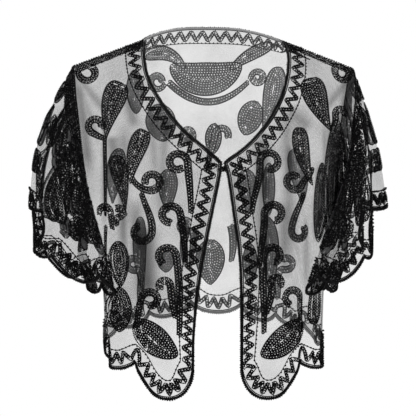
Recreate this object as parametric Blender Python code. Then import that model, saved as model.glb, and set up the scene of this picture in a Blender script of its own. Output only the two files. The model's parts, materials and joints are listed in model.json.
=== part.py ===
"""Evening stole: a sheer net cape with cape sleeves, open down the front, hooked at the neck.

Blender 4.5 script. Metres, +Z up, the garment's front faces -Y and the wearer's left is +X.
The origin is midway between the two side-neck points, where the shoulders carry the cloth.
Each panel is a wall with the cut's outline, and the tables and sizes below are in millimetres.
"""

import math

import bmesh
import bpy
import numpy as np

MM = 0.001

# Walls, edge binding and the seam gap.
CLOTH_THICK = 1.2
BINDING_WIDE = 3.4
BINDING_THICK = 2.0
SEAM_GAP = 0.3
LEAST_MITRE = 0.5

# Hook and eye: a bent wire, with its places measured from the middle of the fastening.
WIRE_THICK = 0.9
HOOK_STAND_OFF = 0.6
HOOK = {"ring_radius": 1.3, "tail": 7.0, "reach": 1.2, "bill": 2.2, "eye_tail": 7.0, "below_corner": 0.3}

# Neck and shoulders.
NECK_HALF = 103.0
SHOULDER_HALF = 200.0
SHOULDER_DROP = 37.0
NAPE_RISE = 24.0
NAPE_DEPTH = 66.0
NAPE_FLATNESS = 2.7
NAPE_ROUNDNESS = 0.9

# Heights of the underarm, the hooked neck corner and the hem.
UNDERARM_Z = -255.0
CORNER_Z = -175.5
FRONT_HEM_Z = -457.0
SIDE_HEM_Z = -424.0
BACK_HEM_Z = -374.0

# The rows run from the shoulder (0) through the underarm to the hem.
ROWS = 22
UNDERARM_ROW = 12
CORNER_ROW = 11
FRONT_COLUMNS = 20
NECK_COLUMNS = 13
SHOULDER_COLUMNS = 11
SLEEVE_SPLIT = 3
SLEEVE_ROWS = 9
# How the rows bunch up near the shoulder, and the columns towards the middle of each panel.
ROW_POWER = 1.5
ARMHOLE_POWER = 1.45
FRONT_BUNCHING = 0.16
BACK_BUNCHING = 0.18

# The wearing figure's level sections: half width, and the superellipse's squareness.
SECTION = {
    "z": (20.0, -37.0, -75.0, -110.0, -150.0, -190.0, -225.0, -255.0, -300.0, -360.0, -420.0, -520.0),
    "half_width": (250.0, 247.0, 238.0, 224.0, 209.0, 196.0, 185.0, 176.0, 165.0, 157.5, 156.0, 156.0),
    "squareness": (3.0, 3.0, 2.95, 2.85, 2.7, 2.6, 2.5, 2.4, 2.35, 2.3, 2.2, 2.2),
}
# How far the cloth stands forward, or back, of the shoulder seam at each drop below it.
FRONT_PROFILE = {
    "drop": (0.0, 2.0, 8.0, 20.0, 40.0, 70.0, 110.0, 150.0, 190.0, 230.0, 280.0, 350.0, 450.0, 560.0),
    "forward": (0.0, 12.0, 25.0, 40.0, 53.0, 65.0, 80.0, 96.0, 112.0, 121.0, 120.0, 116.0, 110.0, 106.0),
}
BACK_PROFILE = {
    "drop": (0.0, 2.0, 6.0, 14.0, 28.0, 50.0, 80.0, 120.0, 160.0, 250.0, 400.0, 560.0),
    "back": (0.0, 17.0, 30.0, 45.0, 60.0, 75.0, 88.0, 97.0, 100.0, 98.0, 95.0, 93.0),
}
# The fronts' inner edge: the neck curve down to the hooked corner, then the open front.
NECK_EDGE = {
    "z": (0.0, -20.0, -41.0, -60.0, -80.0, -100.0, -120.0, -138.0, -152.0, -163.0, -171.0, -175.5),
    "right": (103.0, 105.0, 103.5, 98.5, 89.0, 77.0, 62.5, 46.0, 30.0, 18.0, 9.0, 4.6),
    "left": (103.0, 104.0, 102.0, 98.0, 91.0, 80.0, 67.0, 51.5, 37.0, 23.0, 10.5, 4.6),
}
OPEN_EDGE = {
    "z": (-175.5, -190.0, -209.0, -250.0, -284.0, -330.0, -377.0, -440.0, -520.0),
    "right": (4.6, 6.4, 10.0, 18.5, 25.0, 33.0, 38.5, 41.5, 42.0),
    "left": (4.6, 8.8, 12.0, 18.0, 23.5, 27.5, 28.5, 29.0, 29.0),
}
ARMHOLE_EDGE = {
    "z": (-37.0, -75.0, -110.0, -150.0, -190.0, -225.0, -241.0, -250.0, -255.0),
    "half_width": (200.0, 198.0, 195.0, 191.5, 187.5, 181.2, 178.3, 176.7, 176.0),
}

# Hem scallops, from the centre outwards: depth, where the lobe is lowest (a share of its width),
# and how full each side of it is (0.5 round, 1 pointed).
FRONT_SCALLOPS = {
    "depth": (43.0, 17.0),
    "lowest": (0.4, 0.5),
    "inner_fullness": (0.5, 1.0),
    "outer_fullness": (1.35, 0.55),
}
# Where the back hem's scallops meet, in columns from the back's middle, minus to the wearer's right.
BACK_SCALLOP_ENDS = (-24, -16, -9, -2, 5, 11, 17, 24)
BACK_SCALLOP_DEPTH = 16.0
SLEEVE_SCALLOPS = 9
SLEEVE_SCALLOP_DEPTH = 17.0
SCALLOP_ROWS = 5.0
SCALLOP_ROW_POWER = 1.5
SLEEVE_SCALLOP_FROM = 0.6
SMALL_FULLNESS = 0.9
LOBE_POWER = 2.2

# Depth of the front and of the back of the figure, which sets the way a fold faces.
FRONT_DEPTH = 110.0
BACK_DEPTH = 95.0
# Soft folds of the hanging panels: place across the panel at the top and at the hem, half width
# (shares of the panel), height of the ridge (minus for a trough), and the row where it starts.
FRONT_FOLDS = {
    "top": (0.30, 0.50, 0.72, 0.86),
    "hem": (0.26, 0.52, 0.72, 0.87),
    "half_width": (0.12, 0.09, 0.09, 0.07),
    "height": (4.0, -5.0, 7.0, -4.0),
    "first_row": (9.0, 11.0, 11.0, 12.0),
}
BACK_FOLDS = {
    "top": (-0.78, -0.55, -0.30, -0.05, 0.22, 0.48, 0.76),
    "hem": (-0.80, -0.56, -0.33, -0.04, 0.25, 0.52, 0.79),
    "half_width": (0.09, 0.11, 0.09, 0.07, 0.10, 0.10, 0.09),
    "height": (7.0, -6.0, 6.0, 7.0, -6.0, 7.0, 6.0),
    "first_row": (11.0, 8.0, 9.0, 5.0, 8.0, 9.0, 11.0),
}

# Sleeve hem in plan: a bean-shaped ring round the arm, which wraps further over the front panel
# than over the back, its height at each angle round from the underarm, and its folds. A fold's
# place and half width are shares of the way round, and its height is minus for a trough.
SLEEVE_RING = {
    "right": {"centre": 219.0, "half_width": 37.0, "front": (102.0, 48.0), "back": (98.0, 33.0)},
    "left": {"centre": 204.0, "half_width": 25.0, "front": (110.0, 64.0), "back": (96.0, 23.0)},
}
SLEEVE_FRONT_ROUNDNESS = 0.85
SLEEVE_HEM = {
    "angle": (0.0, 50.0, 85.0, 110.0, 125.0, 138.0, 150.0, 160.0, 168.0, 180.0),
    "z": (-336.0, -338.0, -328.0, -316.0, -301.0, -284.0, -267.0, -248.0, -230.0, -214.0),
}
SLEEVE_FOLDS = {
    "right": {
        "around": (0.075, 0.145, 0.215, 0.287, 0.358, 0.43, 0.50, 0.57, 0.642, 0.713, 0.785, 0.855, 0.925),
        "half_width": (0.07, 0.07, 0.072, 0.072, 0.072, 0.072, 0.07, 0.072, 0.072, 0.072, 0.071, 0.07, 0.07),
        "height": (5.0, -6.0, 5.0, -9.0, 14.0, 3.0, 6.0, -12.0, 14.0, -9.0, 6.0, -7.0, 4.0),
    },
    "left": {
        "around": (0.07, 0.13, 0.195, 0.275, 0.345, 0.42, 0.50, 0.58, 0.65, 0.72, 0.79, 0.86, 0.93),
        "half_width": (0.07, 0.07, 0.07, 0.07, 0.07, 0.078, 0.075, 0.078, 0.07, 0.07, 0.07, 0.07, 0.07),
        "height": (4.0, -2.0, 0.0, -3.0, 3.0, -9.0, 22.0, -9.0, 10.0, -8.0, 6.0, -6.0, 5.0),
    },
}
# How soon the sleeve spreads out from its seam: at the shoulder, and forwards and inwards in front.
SLEEVE_OUT_POWER = 2.0
SLEEVE_FORWARD_POWER = 3.0
SLEEVE_INWARD_POWER = 2.0
SLEEVE_FRONT_FROM = 0.7
SLEEVE_FRONT_FADE = 0.7
UNDERARM_BELLY = 15.0
RING_STEPS = 720
FOLD_POWER = 1.25
SHARP_ANGLE = 40.0

MATERIALS = {
    "net": ((0.012, 0.012, 0.014, 1.0), 0.75, 0.0),
    "binding": ((0.01, 0.01, 0.011, 1.0), 0.55, 0.0),
    "hook_metal": ((0.02, 0.02, 0.022, 1.0), 0.35, 1.0),
}


def table_curve(x_knots, y_knots):
    """A smooth curve through the knots that never overshoots them (monotone cubic)."""
    x = np.array(x_knots, float)
    y = np.array(y_knots, float)
    if x[0] > x[-1]:
        x, y = x[::-1], y[::-1]
    step = np.diff(x)
    rise = np.diff(y) / step
    slope = np.empty(len(x))
    slope[0], slope[-1] = rise[0], rise[-1]
    for i in range(1, len(x) - 1):
        if rise[i - 1] * rise[i] <= 0:
            slope[i] = 0.0
            continue
        before, after = step[i - 1], step[i]
        weight_a, weight_b = 2 * after + before, after + 2 * before
        slope[i] = (weight_a + weight_b) / (weight_a / rise[i - 1] + weight_b / rise[i])

    def curve(value):
        value = np.clip(value, x[0], x[-1])
        i = np.clip(np.searchsorted(x, value) - 1, 0, len(step) - 1)
        t = (value - x[i]) / step[i]
        return (
            y[i] * (1 + 2 * t) * (1 - t) ** 2
            + y[i + 1] * t * t * (3 - 2 * t)
            + step[i] * (slope[i] * t * (1 - t) ** 2 + slope[i + 1] * t * t * (t - 1))
        )

    return curve


def mix(a, b, share):
    return a + (b - a) * share


def smooth(value):
    value = np.clip(value, 0.0, 1.0)
    return value * value * (3 - 2 * value)


half_width_at = table_curve(SECTION["z"], SECTION["half_width"])
squareness_at = table_curve(SECTION["z"], SECTION["squareness"])
sleeve_hem_at = table_curve(SLEEVE_HEM["angle"], SLEEVE_HEM["z"])
armhole_at = table_curve(ARMHOLE_EDGE["z"], ARMHOLE_EDGE["half_width"])
front_of_root_drop = table_curve(np.sqrt(FRONT_PROFILE["drop"]), FRONT_PROFILE["forward"])
back_of_root_drop = table_curve(np.sqrt(BACK_PROFILE["drop"]), BACK_PROFILE["back"])
root_drop_of_back = table_curve(BACK_PROFILE["back"][:9], np.sqrt(BACK_PROFILE["drop"][:9]))


def forward_at(drop):
    return front_of_root_drop(np.sqrt(np.maximum(drop, 0.0)))


def back_at(drop):
    return back_of_root_drop(np.sqrt(np.maximum(drop, 0.0)))


def shoulder_line(x):
    """Height of the straight shoulder seam, carried on towards the centre."""
    return -SHOULDER_DROP * (x - NECK_HALF) / (SHOULDER_HALF - NECK_HALF)


def section_angle(x, z):
    """Angle round the figure's section at height z where it is x from the centre."""
    share = np.clip(x / half_width_at(z), 0.0, 1.0)
    return np.arcsin(share ** (squareness_at(z) / 2))


def side_height(row):
    """Height of the armhole's, then the side seam's, point on a row."""
    above = 1 - (1 - np.clip(row / UNDERARM_ROW, 0, 1) ** ROW_POWER) ** ARMHOLE_POWER
    below = np.clip((row - UNDERARM_ROW) / (ROWS - UNDERARM_ROW), 0, 1)
    return -SHOULDER_DROP + (UNDERARM_Z + SHOULDER_DROP) * above + (SIDE_HEM_Z - UNDERARM_Z) * below


def side_angle(row):
    z = side_height(row)
    return np.where(row >= UNDERARM_ROW, math.pi / 2, section_angle(armhole_at(z), z))


def side_half_width(row):
    z = side_height(row)
    return np.where(row >= UNDERARM_ROW, half_width_at(z), armhole_at(z))


def lobe(share, lowest, inner, outer):
    """One scallop, 0 to 1 across, with a bottom of 1 and each side its own fullness."""
    before = share < lowest
    away = np.where(before, (lowest - share) / lowest, (share - lowest) / (1 - lowest))
    return np.clip(1 - away**LOBE_POWER, 0.0, 1.0) ** np.where(before, inner, outer)


def small_lobe(share):
    return lobe(share, 0.5, SMALL_FULLNESS, SMALL_FULLNESS)


def fold_height(folds, across, row):
    """Height of the folds at a place across the panel and a row."""
    total = np.zeros(np.broadcast(across, row).shape)
    for top, hem, wide, high, first in zip(*folds.values()):
        ramp = np.clip((row - first) / (ROWS - first), 0, 1) ** FOLD_POWER
        centre = mix(top, hem, row / ROWS)
        away = np.clip(np.abs(across - centre) / wide, 0, 1)
        total = total + high * ramp * np.cos(away * math.pi / 2) ** 2
    return total


def scallop_share(row):
    """How much of the hem's scallop shows on a row: none above the last few."""
    return np.clip((row - (ROWS - SCALLOP_ROWS)) / SCALLOP_ROWS, 0, 1) ** SCALLOP_ROW_POWER


def front_edge(side, row):
    """(x, z) of the front's inner edge on a row: down the neck, then down the open front."""
    above = CORNER_Z * np.clip(row / CORNER_ROW, 0, 1) ** ROW_POWER
    below = np.clip((row - CORNER_ROW) / (ROWS - CORNER_ROW), 0, 1)
    z = above + (FRONT_HEM_Z - CORNER_Z) * below
    neck = table_curve(NECK_EDGE["z"], NECK_EDGE[side])
    opening = table_curve(OPEN_EDGE["z"], OPEN_EDGE[side])
    return np.where(row <= CORNER_ROW, neck(z), opening(z)), z


def front_point(side, across, row):
    """A front panel's point: across 0 at the opening to 1 at the armhole and side seam."""
    across, row = np.broadcast_arrays(np.asarray(across, float), np.asarray(row, float))
    x_in, z_in = front_edge(side, row)
    x_out, z_out = side_half_width(row), side_height(row)
    eased = across * (1 - FRONT_BUNCHING + FRONT_BUNCHING * across)
    z_level = mix(z_in, z_out, across)
    angle = mix(section_angle(x_in, z_in), side_angle(row), eased)
    power = 2 / squareness_at(z_level)
    width = half_width_at(z_level)
    x = width * np.sin(angle) ** power
    x = np.where(across == 0, x_in, np.where(across == 1, x_out, x))
    drop = mix(shoulder_line(x_in) - z_in, shoulder_line(x_out) - z_out, across)
    drop = np.where(row == 0, 0.0, drop)
    sideways = np.clip(np.cos(angle), 0.0, 1.0) ** power
    y = -forward_at(drop) * np.where(angle >= math.pi / 2 - 1e-9, 0.0, sideways)
    z = shoulder_line(x) - drop
    fold = fold_height(FRONT_FOLDS, across, row)
    lean = np.arctan2(np.sin(angle) / width, np.cos(angle) / FRONT_DEPTH)
    x = x + fold * np.sin(lean)
    y = y - fold * np.cos(lean)
    lobes = len(FRONT_SCALLOPS["depth"])
    number = np.clip(np.floor(across * lobes), 0, lobes - 1).astype(int)
    depth, *shape = (np.array(column)[number] for column in FRONT_SCALLOPS.values())
    z = z - depth * lobe(across * lobes - number, *shape) * scallop_share(row)
    return np.stack([x, y, z], -1)


def nape_edge(share):
    """(x, y, z) of the back's top edge, 0 at the centre to 1 at the side-neck point."""
    turn = share * math.pi / 2
    x = NECK_HALF * np.sin(turn)
    y = NAPE_DEPTH * np.cos(turn) ** NAPE_ROUNDNESS
    z = NAPE_RISE * (1 - (x / NECK_HALF) ** NAPE_FLATNESS)
    return x, y, z


def back_point(across, row):
    """The back's point: across -1 to 1, from the wearer's right side to the left."""
    across, row = np.broadcast_arrays(np.asarray(across, float), np.asarray(row, float))
    half = np.abs(across)
    neck_share = NECK_COLUMNS / (NECK_COLUMNS + SHOULDER_COLUMNS)
    x_nape, y_nape, z_nape = nape_edge(np.clip(half / neck_share, 0, 1))
    along = np.clip((half - neck_share) / (1 - neck_share), 0, 1)
    on_neck = half < neck_share
    x_top = np.where(on_neck, x_nape, mix(NECK_HALF, SHOULDER_HALF, along))
    z_top = np.where(on_neck, z_nape, shoulder_line(x_top))
    y_top = np.where(on_neck, y_nape, 0.0)
    angle_top = section_angle(x_top, z_top)
    settle = smooth(row / UNDERARM_ROW)
    settled = half * (1 - BACK_BUNCHING + BACK_BUNCHING * half)
    shares = mix(angle_top / side_angle(0.0), settled, settle)
    angle = side_angle(row) * np.where(half == 1, 1.0, shares)
    fall = (side_height(row) - side_height(0.0)) / (SIDE_HEM_Z + SHOULDER_DROP)
    drop = fall * mix(NAPE_RISE - BACK_HEM_Z, -SHOULDER_DROP - SIDE_HEM_Z, half)
    z = z_top - drop
    level = np.minimum(z, 0.0)
    power = 2 / squareness_at(level)
    width = half_width_at(level)
    x = np.where(half == 1, side_half_width(row), width * np.sin(angle) ** power)
    sideways_top = np.cos(angle_top) ** (2 / squareness_at(z_top))
    started = np.where(y_top > 0, root_drop_of_back(y_top / sideways_top), 0.0) ** 2
    sideways = np.clip(np.cos(angle), 0.0, 1.0) ** power
    y = back_at(started + drop) * np.where(angle >= math.pi / 2 - 1e-9, 0.0, sideways)
    x = np.where(row == 0, x_top, x)
    y = np.where(row == 0, y_top, y)
    fold = fold_height(BACK_FOLDS, across, row)
    lean = np.arctan2(np.sin(angle) / width, np.cos(angle) / BACK_DEPTH)
    x = (x + fold * np.sin(lean)) * np.where(across < 0, -1.0, 1.0)
    y = y + fold * np.cos(lean)
    ends = np.array(BACK_SCALLOP_ENDS) / BACK_SCALLOP_ENDS[-1]
    number = np.clip(np.searchsorted(ends, across, "right") - 1, 0, len(ends) - 2)
    share = (across - ends[number]) / (ends[number + 1] - ends[number])
    z = z - BACK_SCALLOP_DEPTH * small_lobe(share) * scallop_share(row)
    return np.stack([x, y, z], -1)


def armhole_point(side, around):
    """The armhole seam, 0 at the underarm, 0.5 at the shoulder and 1 at the underarm again."""
    around = np.asarray(around, float)
    ahead = front_point(side, np.ones_like(around), UNDERARM_ROW * np.clip(1 - 2 * around, 0, 1))
    behind = back_point(np.ones_like(around), UNDERARM_ROW * np.clip(2 * around - 1, 0, 1))
    return np.where((around <= 0.5)[..., None], ahead, behind)


def sleeve_ring(side, turn):
    """(x, y) of the sleeve's hem in plan at an angle round from the underarm, before its folds."""
    ring = SLEEVE_RING[side]
    cosine, sine = np.cos(turn), np.sin(turn)
    ahead = sine > 0
    depth, wrap = (np.where(ahead, *pair) for pair in zip(ring["front"], ring["back"]))
    x = ring["centre"] - ring["half_width"] * cosine - wrap * sine**2 * (1 + cosine)
    return x, -depth * np.where(ahead, np.abs(sine) ** SLEEVE_FRONT_ROUNDNESS, sine)


def ring_turn(side, around):
    """Angle round from the underarm, each half of the ring shared out along its own length."""
    turns = np.linspace(0, 2 * math.pi, RING_STEPS + 1)
    x, y = sleeve_ring(side, turns)
    length = np.concatenate([[0.0], np.cumsum(np.hypot(np.diff(x), np.diff(y)))])
    ahead = length[RING_STEPS // 2]
    share = np.minimum(length / ahead, 1) + np.maximum(length - ahead, 0) / (length[-1] - ahead)
    return np.interp(around, share / 2, turns)


def sleeve_point(side, around, down):
    """A sleeve's point: around the arm as armhole_point, down 0 at the seam to 1 at the hem."""
    around, down = np.broadcast_arrays(np.asarray(around, float), np.asarray(down, float))
    seam = armhole_point(side, around)
    turn = ring_turn(side, around)
    hem_x, hem_y = sleeve_ring(side, turn)
    hem_z = sleeve_hem_at(np.degrees(np.minimum(turn, 2 * math.pi - turn)))
    outwards = (1 - np.cos(turn)) / 2
    in_front = np.clip(np.sin(turn), 0.0, 1.0) * smooth((SLEEVE_FRONT_FROM - outwards) / SLEEVE_FRONT_FADE)
    spread = mix(down, 1 - (1 - down) ** SLEEVE_OUT_POWER, outwards**2)
    spread_inward = mix(spread, 1 - (1 - down) ** SLEEVE_INWARD_POWER, in_front)
    spread_forward = mix(spread, 1 - (1 - down) ** SLEEVE_FORWARD_POWER, in_front)
    belly = UNDERARM_BELLY * 4 * down * (1 - down) * (1 - outwards)
    fold = np.zeros(around.shape)
    for place, wide, high in zip(*SLEEVE_FOLDS[side].values()):
        away = np.clip(np.abs(around - place) / wide, 0, 1)
        fold = fold + high * np.cos(away * math.pi / 2) ** 2
    fold = fold * down**FOLD_POWER
    ahead_x, ahead_y = sleeve_ring(side, ring_turn(side, np.mod(around + 1 / RING_STEPS, 1)))
    behind_x, behind_y = sleeve_ring(side, ring_turn(side, np.mod(around - 1 / RING_STEPS, 1)))
    run_x, run_y = ahead_x - behind_x, ahead_y - behind_y
    run = np.hypot(run_x, run_y)
    x = mix(seam[..., 0], hem_x, spread_inward) + belly + fold * run_y / run
    y = mix(seam[..., 1], hem_y, spread_forward) - belly * np.sin(turn) - fold * run_x / run
    z = mix(seam[..., 2], hem_z, down)
    number = np.floor(np.clip(around, 0, 1 - 1e-9) * SLEEVE_SCALLOPS)
    shown = np.clip((down - SLEEVE_SCALLOP_FROM) / (1 - SLEEVE_SCALLOP_FROM), 0, 1) ** SCALLOP_ROW_POWER
    z = z - SLEEVE_SCALLOP_DEPTH * small_lobe(around * SLEEVE_SCALLOPS - number) * shown
    return np.stack([x, y, z], -1)


def unit(vectors):
    return vectors / np.maximum(np.linalg.norm(vectors, axis=-1, keepdims=True), 1e-12)


def grid_normals(points, closed=False):
    """Normals of a grid of points, from its neighbours across (axis 0) and down (axis 1)."""
    if closed:
        across = np.roll(points, -1, 0) - np.roll(points, 1, 0)
    else:
        across = np.gradient(points, axis=0)
    return unit(np.cross(across, np.gradient(points, axis=1)))


class Panel:
    """A grid of points down the middle of a cloth wall, with the offset to its outside at each."""

    def __init__(self, points, facing, closed=False):
        self.points = points
        self.closed = closed
        self.own = grid_normals(points, closed) * facing
        self.offset = self.own * CLOTH_THICK / 2

    def sew(self, edge, inner, shared):
        """Mitres an edge on the normals it shares with its neighbour, and draws it back from the
        seam by half the seam gap. inner is the line of points next to the edge."""
        own = self.own[edge]
        lean = np.clip(np.abs(np.sum(own * shared, axis=-1, keepdims=True)), LEAST_MITRE, 1.0)
        self.offset[edge] = shared * CLOTH_THICK / 2 / lean
        square = unit(np.cross(np.gradient(self.points[edge], axis=0), own))
        inward = np.sum(square * (self.points[inner] - self.points[edge]), axis=-1, keepdims=True)
        return square * np.sign(inward) * SEAM_GAP / 2 / lean


def link(name, mesh, material):
    """Puts a closed mesh in the collection as a named piece, its faces turned outwards."""
    work = bmesh.new()
    work.from_mesh(mesh)
    bmesh.ops.recalc_face_normals(work, faces=work.faces)
    work.to_mesh(mesh)
    work.free()
    mesh.materials.append(bpy.data.materials[material])
    mesh.shade_smooth()
    mesh.set_sharp_from_angle(angle=math.radians(SHARP_ANGLE))
    obj = bpy.data.objects.new(name, mesh)
    bpy.data.collections["evening_stole"].objects.link(obj)
    return obj


def quads_between(a, b):
    """Faces between two lines of point numbers."""
    return np.stack([a[:-1], a[1:], b[1:], b[:-1]], -1).reshape(-1, 4).tolist()


def build_wall(name, panel):
    """A closed wall on a panel's grid: its outside, its inside, and rims round the open edges."""
    across, down = panel.points.shape[:2]
    outer = np.arange(across * down).reshape(across, down)
    inner = outer + across * down
    if panel.closed:
        outer, inner = (np.concatenate([n, n[:1]]) for n in (outer, inner))
    faces = []
    for j in range(down - 1):
        faces += quads_between(outer[:, j], outer[:, j + 1])
        faces += quads_between(inner[:, j + 1], inner[:, j])
    faces += quads_between(outer[:, 0], inner[:, 0])
    faces += quads_between(outer[:, -1], inner[:, -1])
    if not panel.closed:
        faces += quads_between(outer[0], inner[0])
        faces += quads_between(outer[-1], inner[-1])
    sides = [(panel.points + panel.offset * s).reshape(-1, 3) for s in (1, -1)]
    mesh = bpy.data.meshes.new(name)
    mesh.from_pydata((np.concatenate(sides) * MM).tolist(), [], faces)
    return link(name, mesh, "net")


def build_binding(name, panel, run, seam_y=None):
    """A flat strip just outside a panel's cut edge. run lists the edge's (column, row) and the
    (column, row) just inside it. With no seam_y it closes on itself, otherwise its ends stop there."""
    column, row, column_in, row_in = np.array(run).T
    path = panel.points[column, row]
    normals = panel.own[column, row]
    inward = panel.points[column_in, row_in] - path
    if seam_y is None:
        before, after = np.roll(path, 1, 0), np.roll(path, -1, 0)
    else:
        before = np.concatenate([path[:1] * 2 - path[1:2], path[:-1]])
        after = np.concatenate([path[1:], path[-1:] * 2 - path[-2:-1]])
    arriving = unit(np.cross(path - before, normals))
    leaving = unit(np.cross(after - path, normals))
    outward = unit(arriving + leaving)
    mitre = np.clip(np.abs(np.sum(outward * leaving, axis=-1, keepdims=True)), LEAST_MITRE, 1.0)
    outward = -outward * np.sign(np.sum(outward * inward, axis=-1, keepdims=True)) / mitre
    near = path + outward * SEAM_GAP
    far = path + outward * (SEAM_GAP + BINDING_WIDE)
    rise = normals * BINDING_THICK / 2
    rings = np.stack([near - rise, far - rise, far + rise, near + rise], axis=1)
    if seam_y is not None:
        for end, inner in ((0, 1), (-1, -2)):
            away = unit(path[end] - path[inner])
            rings[end] += away * ((seam_y - rings[end][:, 1:2]) / away[1])
    number = np.arange(rings.shape[0] * 4).reshape(-1, 4)
    loop = np.concatenate([number, number[:, :1]], axis=1)
    if seam_y is None:
        loop = np.concatenate([loop, loop[:1]])
    faces = []
    for i in range(len(loop) - 1):
        faces += quads_between(loop[i], loop[i + 1])
    if seam_y is not None:
        faces += [number[0].tolist(), number[-1].tolist()]
    mesh = bpy.data.meshes.new(name)
    mesh.from_pydata((rings.reshape(-1, 3) * MM).tolist(), [], faces)
    return link(name, mesh, "binding")


def build_wire(name, places):
    """A round wire through the places, as a closed tube."""
    data = bpy.data.curves.new(name, "CURVE")
    data.dimensions = "3D"
    data.bevel_depth = WIRE_THICK / 2 * MM
    data.bevel_resolution = 1
    data.use_fill_caps = True
    data.materials.append(bpy.data.materials["hook_metal"])
    spline = data.splines.new("POLY")
    spline.points.add(len(places) - 1)
    for point, place in zip(spline.points, places):
        point.co = (*(place * MM), 1.0)
    obj = bpy.data.objects.new(name, data)
    bpy.data.collections["evening_stole"].objects.link(obj)
    return obj


def arc(centre, radius, start, end, count, plane):
    """Places on an arc from start to end, in degrees, in the plane of two directions."""
    turns = np.radians(np.linspace(start, end, count))
    return [centre + radius * (math.cos(t) * plane[0] + math.sin(t) * plane[1]) for t in turns]


def build_fastener(corner, normal):
    """The hook on the wearer's right front, linked in the eye on the left, behind the neck corners."""
    across = np.array([1.0, 0.0, 0.0])
    inward = -unit(normal * np.array([0.0, 1.0, 1.0]))
    up = np.cross(inward, across)

    def at(x, rise, depth):
        return corner * np.array([0.0, 1.0, 1.0]) + across * x + up * rise + inward * depth

    spacing = WIRE_THICK + SEAM_GAP
    flat = (BINDING_THICK + WIRE_THICK) / 2 + HOOK_STAND_OFF
    bar = flat + spacing
    bill = bar + spacing
    half = spacing / 2
    ring = HOOK["ring_radius"]
    hook = arc(at(-HOOK["tail"], half + ring, flat), ring, 30, 270, 8, (across, up))
    hook += arc(at(HOOK["reach"], half, bar), spacing, -90, 90, 6, (across, inward))
    hook += arc(at(-HOOK["bill"], 0, bill), half, 90, 270, 4, (across, up))
    hook += arc(at(HOOK["reach"], -half, bar), spacing, 90, -90, 6, (across, inward))
    hook += arc(at(-HOOK["tail"], -half - ring, flat), ring, 90, 330, 8, (across, up))
    wide = half + spacing
    eye = arc(at(HOOK["eye_tail"], wide + ring, flat), ring, 150, -90, 8, (across, up))
    eye += [at(HOOK["reach"] + 2 * spacing, wide, flat), at(HOOK["reach"], wide, bar)]
    eye += [at(HOOK["reach"], -wide, bar), at(HOOK["reach"] + 2 * spacing, -wide, flat)]
    eye += arc(at(HOOK["eye_tail"], -wide - ring, flat), ring, 90, -150, 8, (across, up))
    build_wire("hook", hook)
    build_wire("eye", eye)


def make_materials():
    for name, (colour, roughness, metallic) in MATERIALS.items():
        material = bpy.data.materials.new(name)
        material.use_nodes = True
        shader = material.node_tree.nodes["Principled BSDF"]
        shader.inputs["Base Color"].default_value = colour
        shader.inputs["Roughness"].default_value = roughness
        shader.inputs["Metallic"].default_value = metallic
        material.diffuse_color = colour


def spread(values):
    """A closed loop's values at the armhole's rows, carried on to every sleeve column between."""
    after = np.roll(values, -1, 0)
    shares = np.arange(SLEEVE_SPLIT)[None, :, None] / SLEEVE_SPLIT
    return (values[:, None] * (1 - shares) + after[:, None] * shares).reshape(-1, 3)


def sew_side(front, back, sleeve, edge, inner, shoulder):
    """Sews one side's shoulder, armhole and side seams. edge and inner are the back's last two
    columns on this side, and shoulder its columns from the neck to the armhole."""
    down = slice(UNDERARM_ROW, None)
    level = np.array([1.0, 0.0, 1.0])
    tip, pit = UNDERARM_ROW, 0
    body = np.concatenate([front.own[-1, UNDERARM_ROW:0:-1], back.own[edge, :UNDERARM_ROW]])
    body[tip] = unit(front.own[-1, 0] + back.own[edge, 0])
    body[pit] = unit(front.own[-1, UNDERARM_ROW] + back.own[edge, UNDERARM_ROW])
    seam = np.concatenate([front.points[-1, UNDERARM_ROW:0:-1], back.points[edge, :UNDERARM_ROW]])
    shared = unit(body + sleeve.own[::SLEEVE_SPLIT, 0])
    shared[[tip, pit]] = unit(shared[[tip, pit]] * level)
    steps = []

    def take(panel, where, step):
        steps.append((panel, where, step))

    ahead = (-1, slice(0, UNDERARM_ROW + 1))
    take(front, ahead, front.sew(ahead, (-2, ahead[1]), shared[tip::-1]))
    behind = (edge, slice(0, UNDERARM_ROW + 1))
    closing = np.concatenate([shared[tip:], shared[:1]])
    take(back, behind, back.sew(behind, (inner, behind[1]), closing))
    for panel, columns in ((front, slice(None)), (back, shoulder)):
        top = (columns, 0)
        facing = unit(panel.own[top] * level)
        facing[-1] = shared[tip]
        take(panel, top, panel.sew(top, (columns, 1), facing))
    side = unit(front.own[-1, down] + back.own[edge, down])
    side[0] = shared[pit]
    take(front, (-1, down), front.sew((-1, down), (-2, down), side))
    take(back, (edge, down), back.sew((edge, down), (inner, down), side))
    for panel, where, step in steps:
        panel.points[where] += step

    own = sleeve.own[::SLEEVE_SPLIT, 0]
    lean = np.clip(np.abs(np.sum(own * shared, axis=-1, keepdims=True)), LEAST_MITRE, 1.0)
    square = unit(np.cross(np.roll(seam, -1, 0) - np.roll(seam, 1, 0), own))
    outward = np.sign(np.sum(square * (sleeve.points[::SLEEVE_SPLIT, 1] - seam), axis=-1, keepdims=True))
    sleeve.points[:, 0] = spread(seam + square * outward * SEAM_GAP / 2 / lean)
    sleeve.offset[:, 0] = spread(shared * CLOTH_THICK / 2 / lean)


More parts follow.
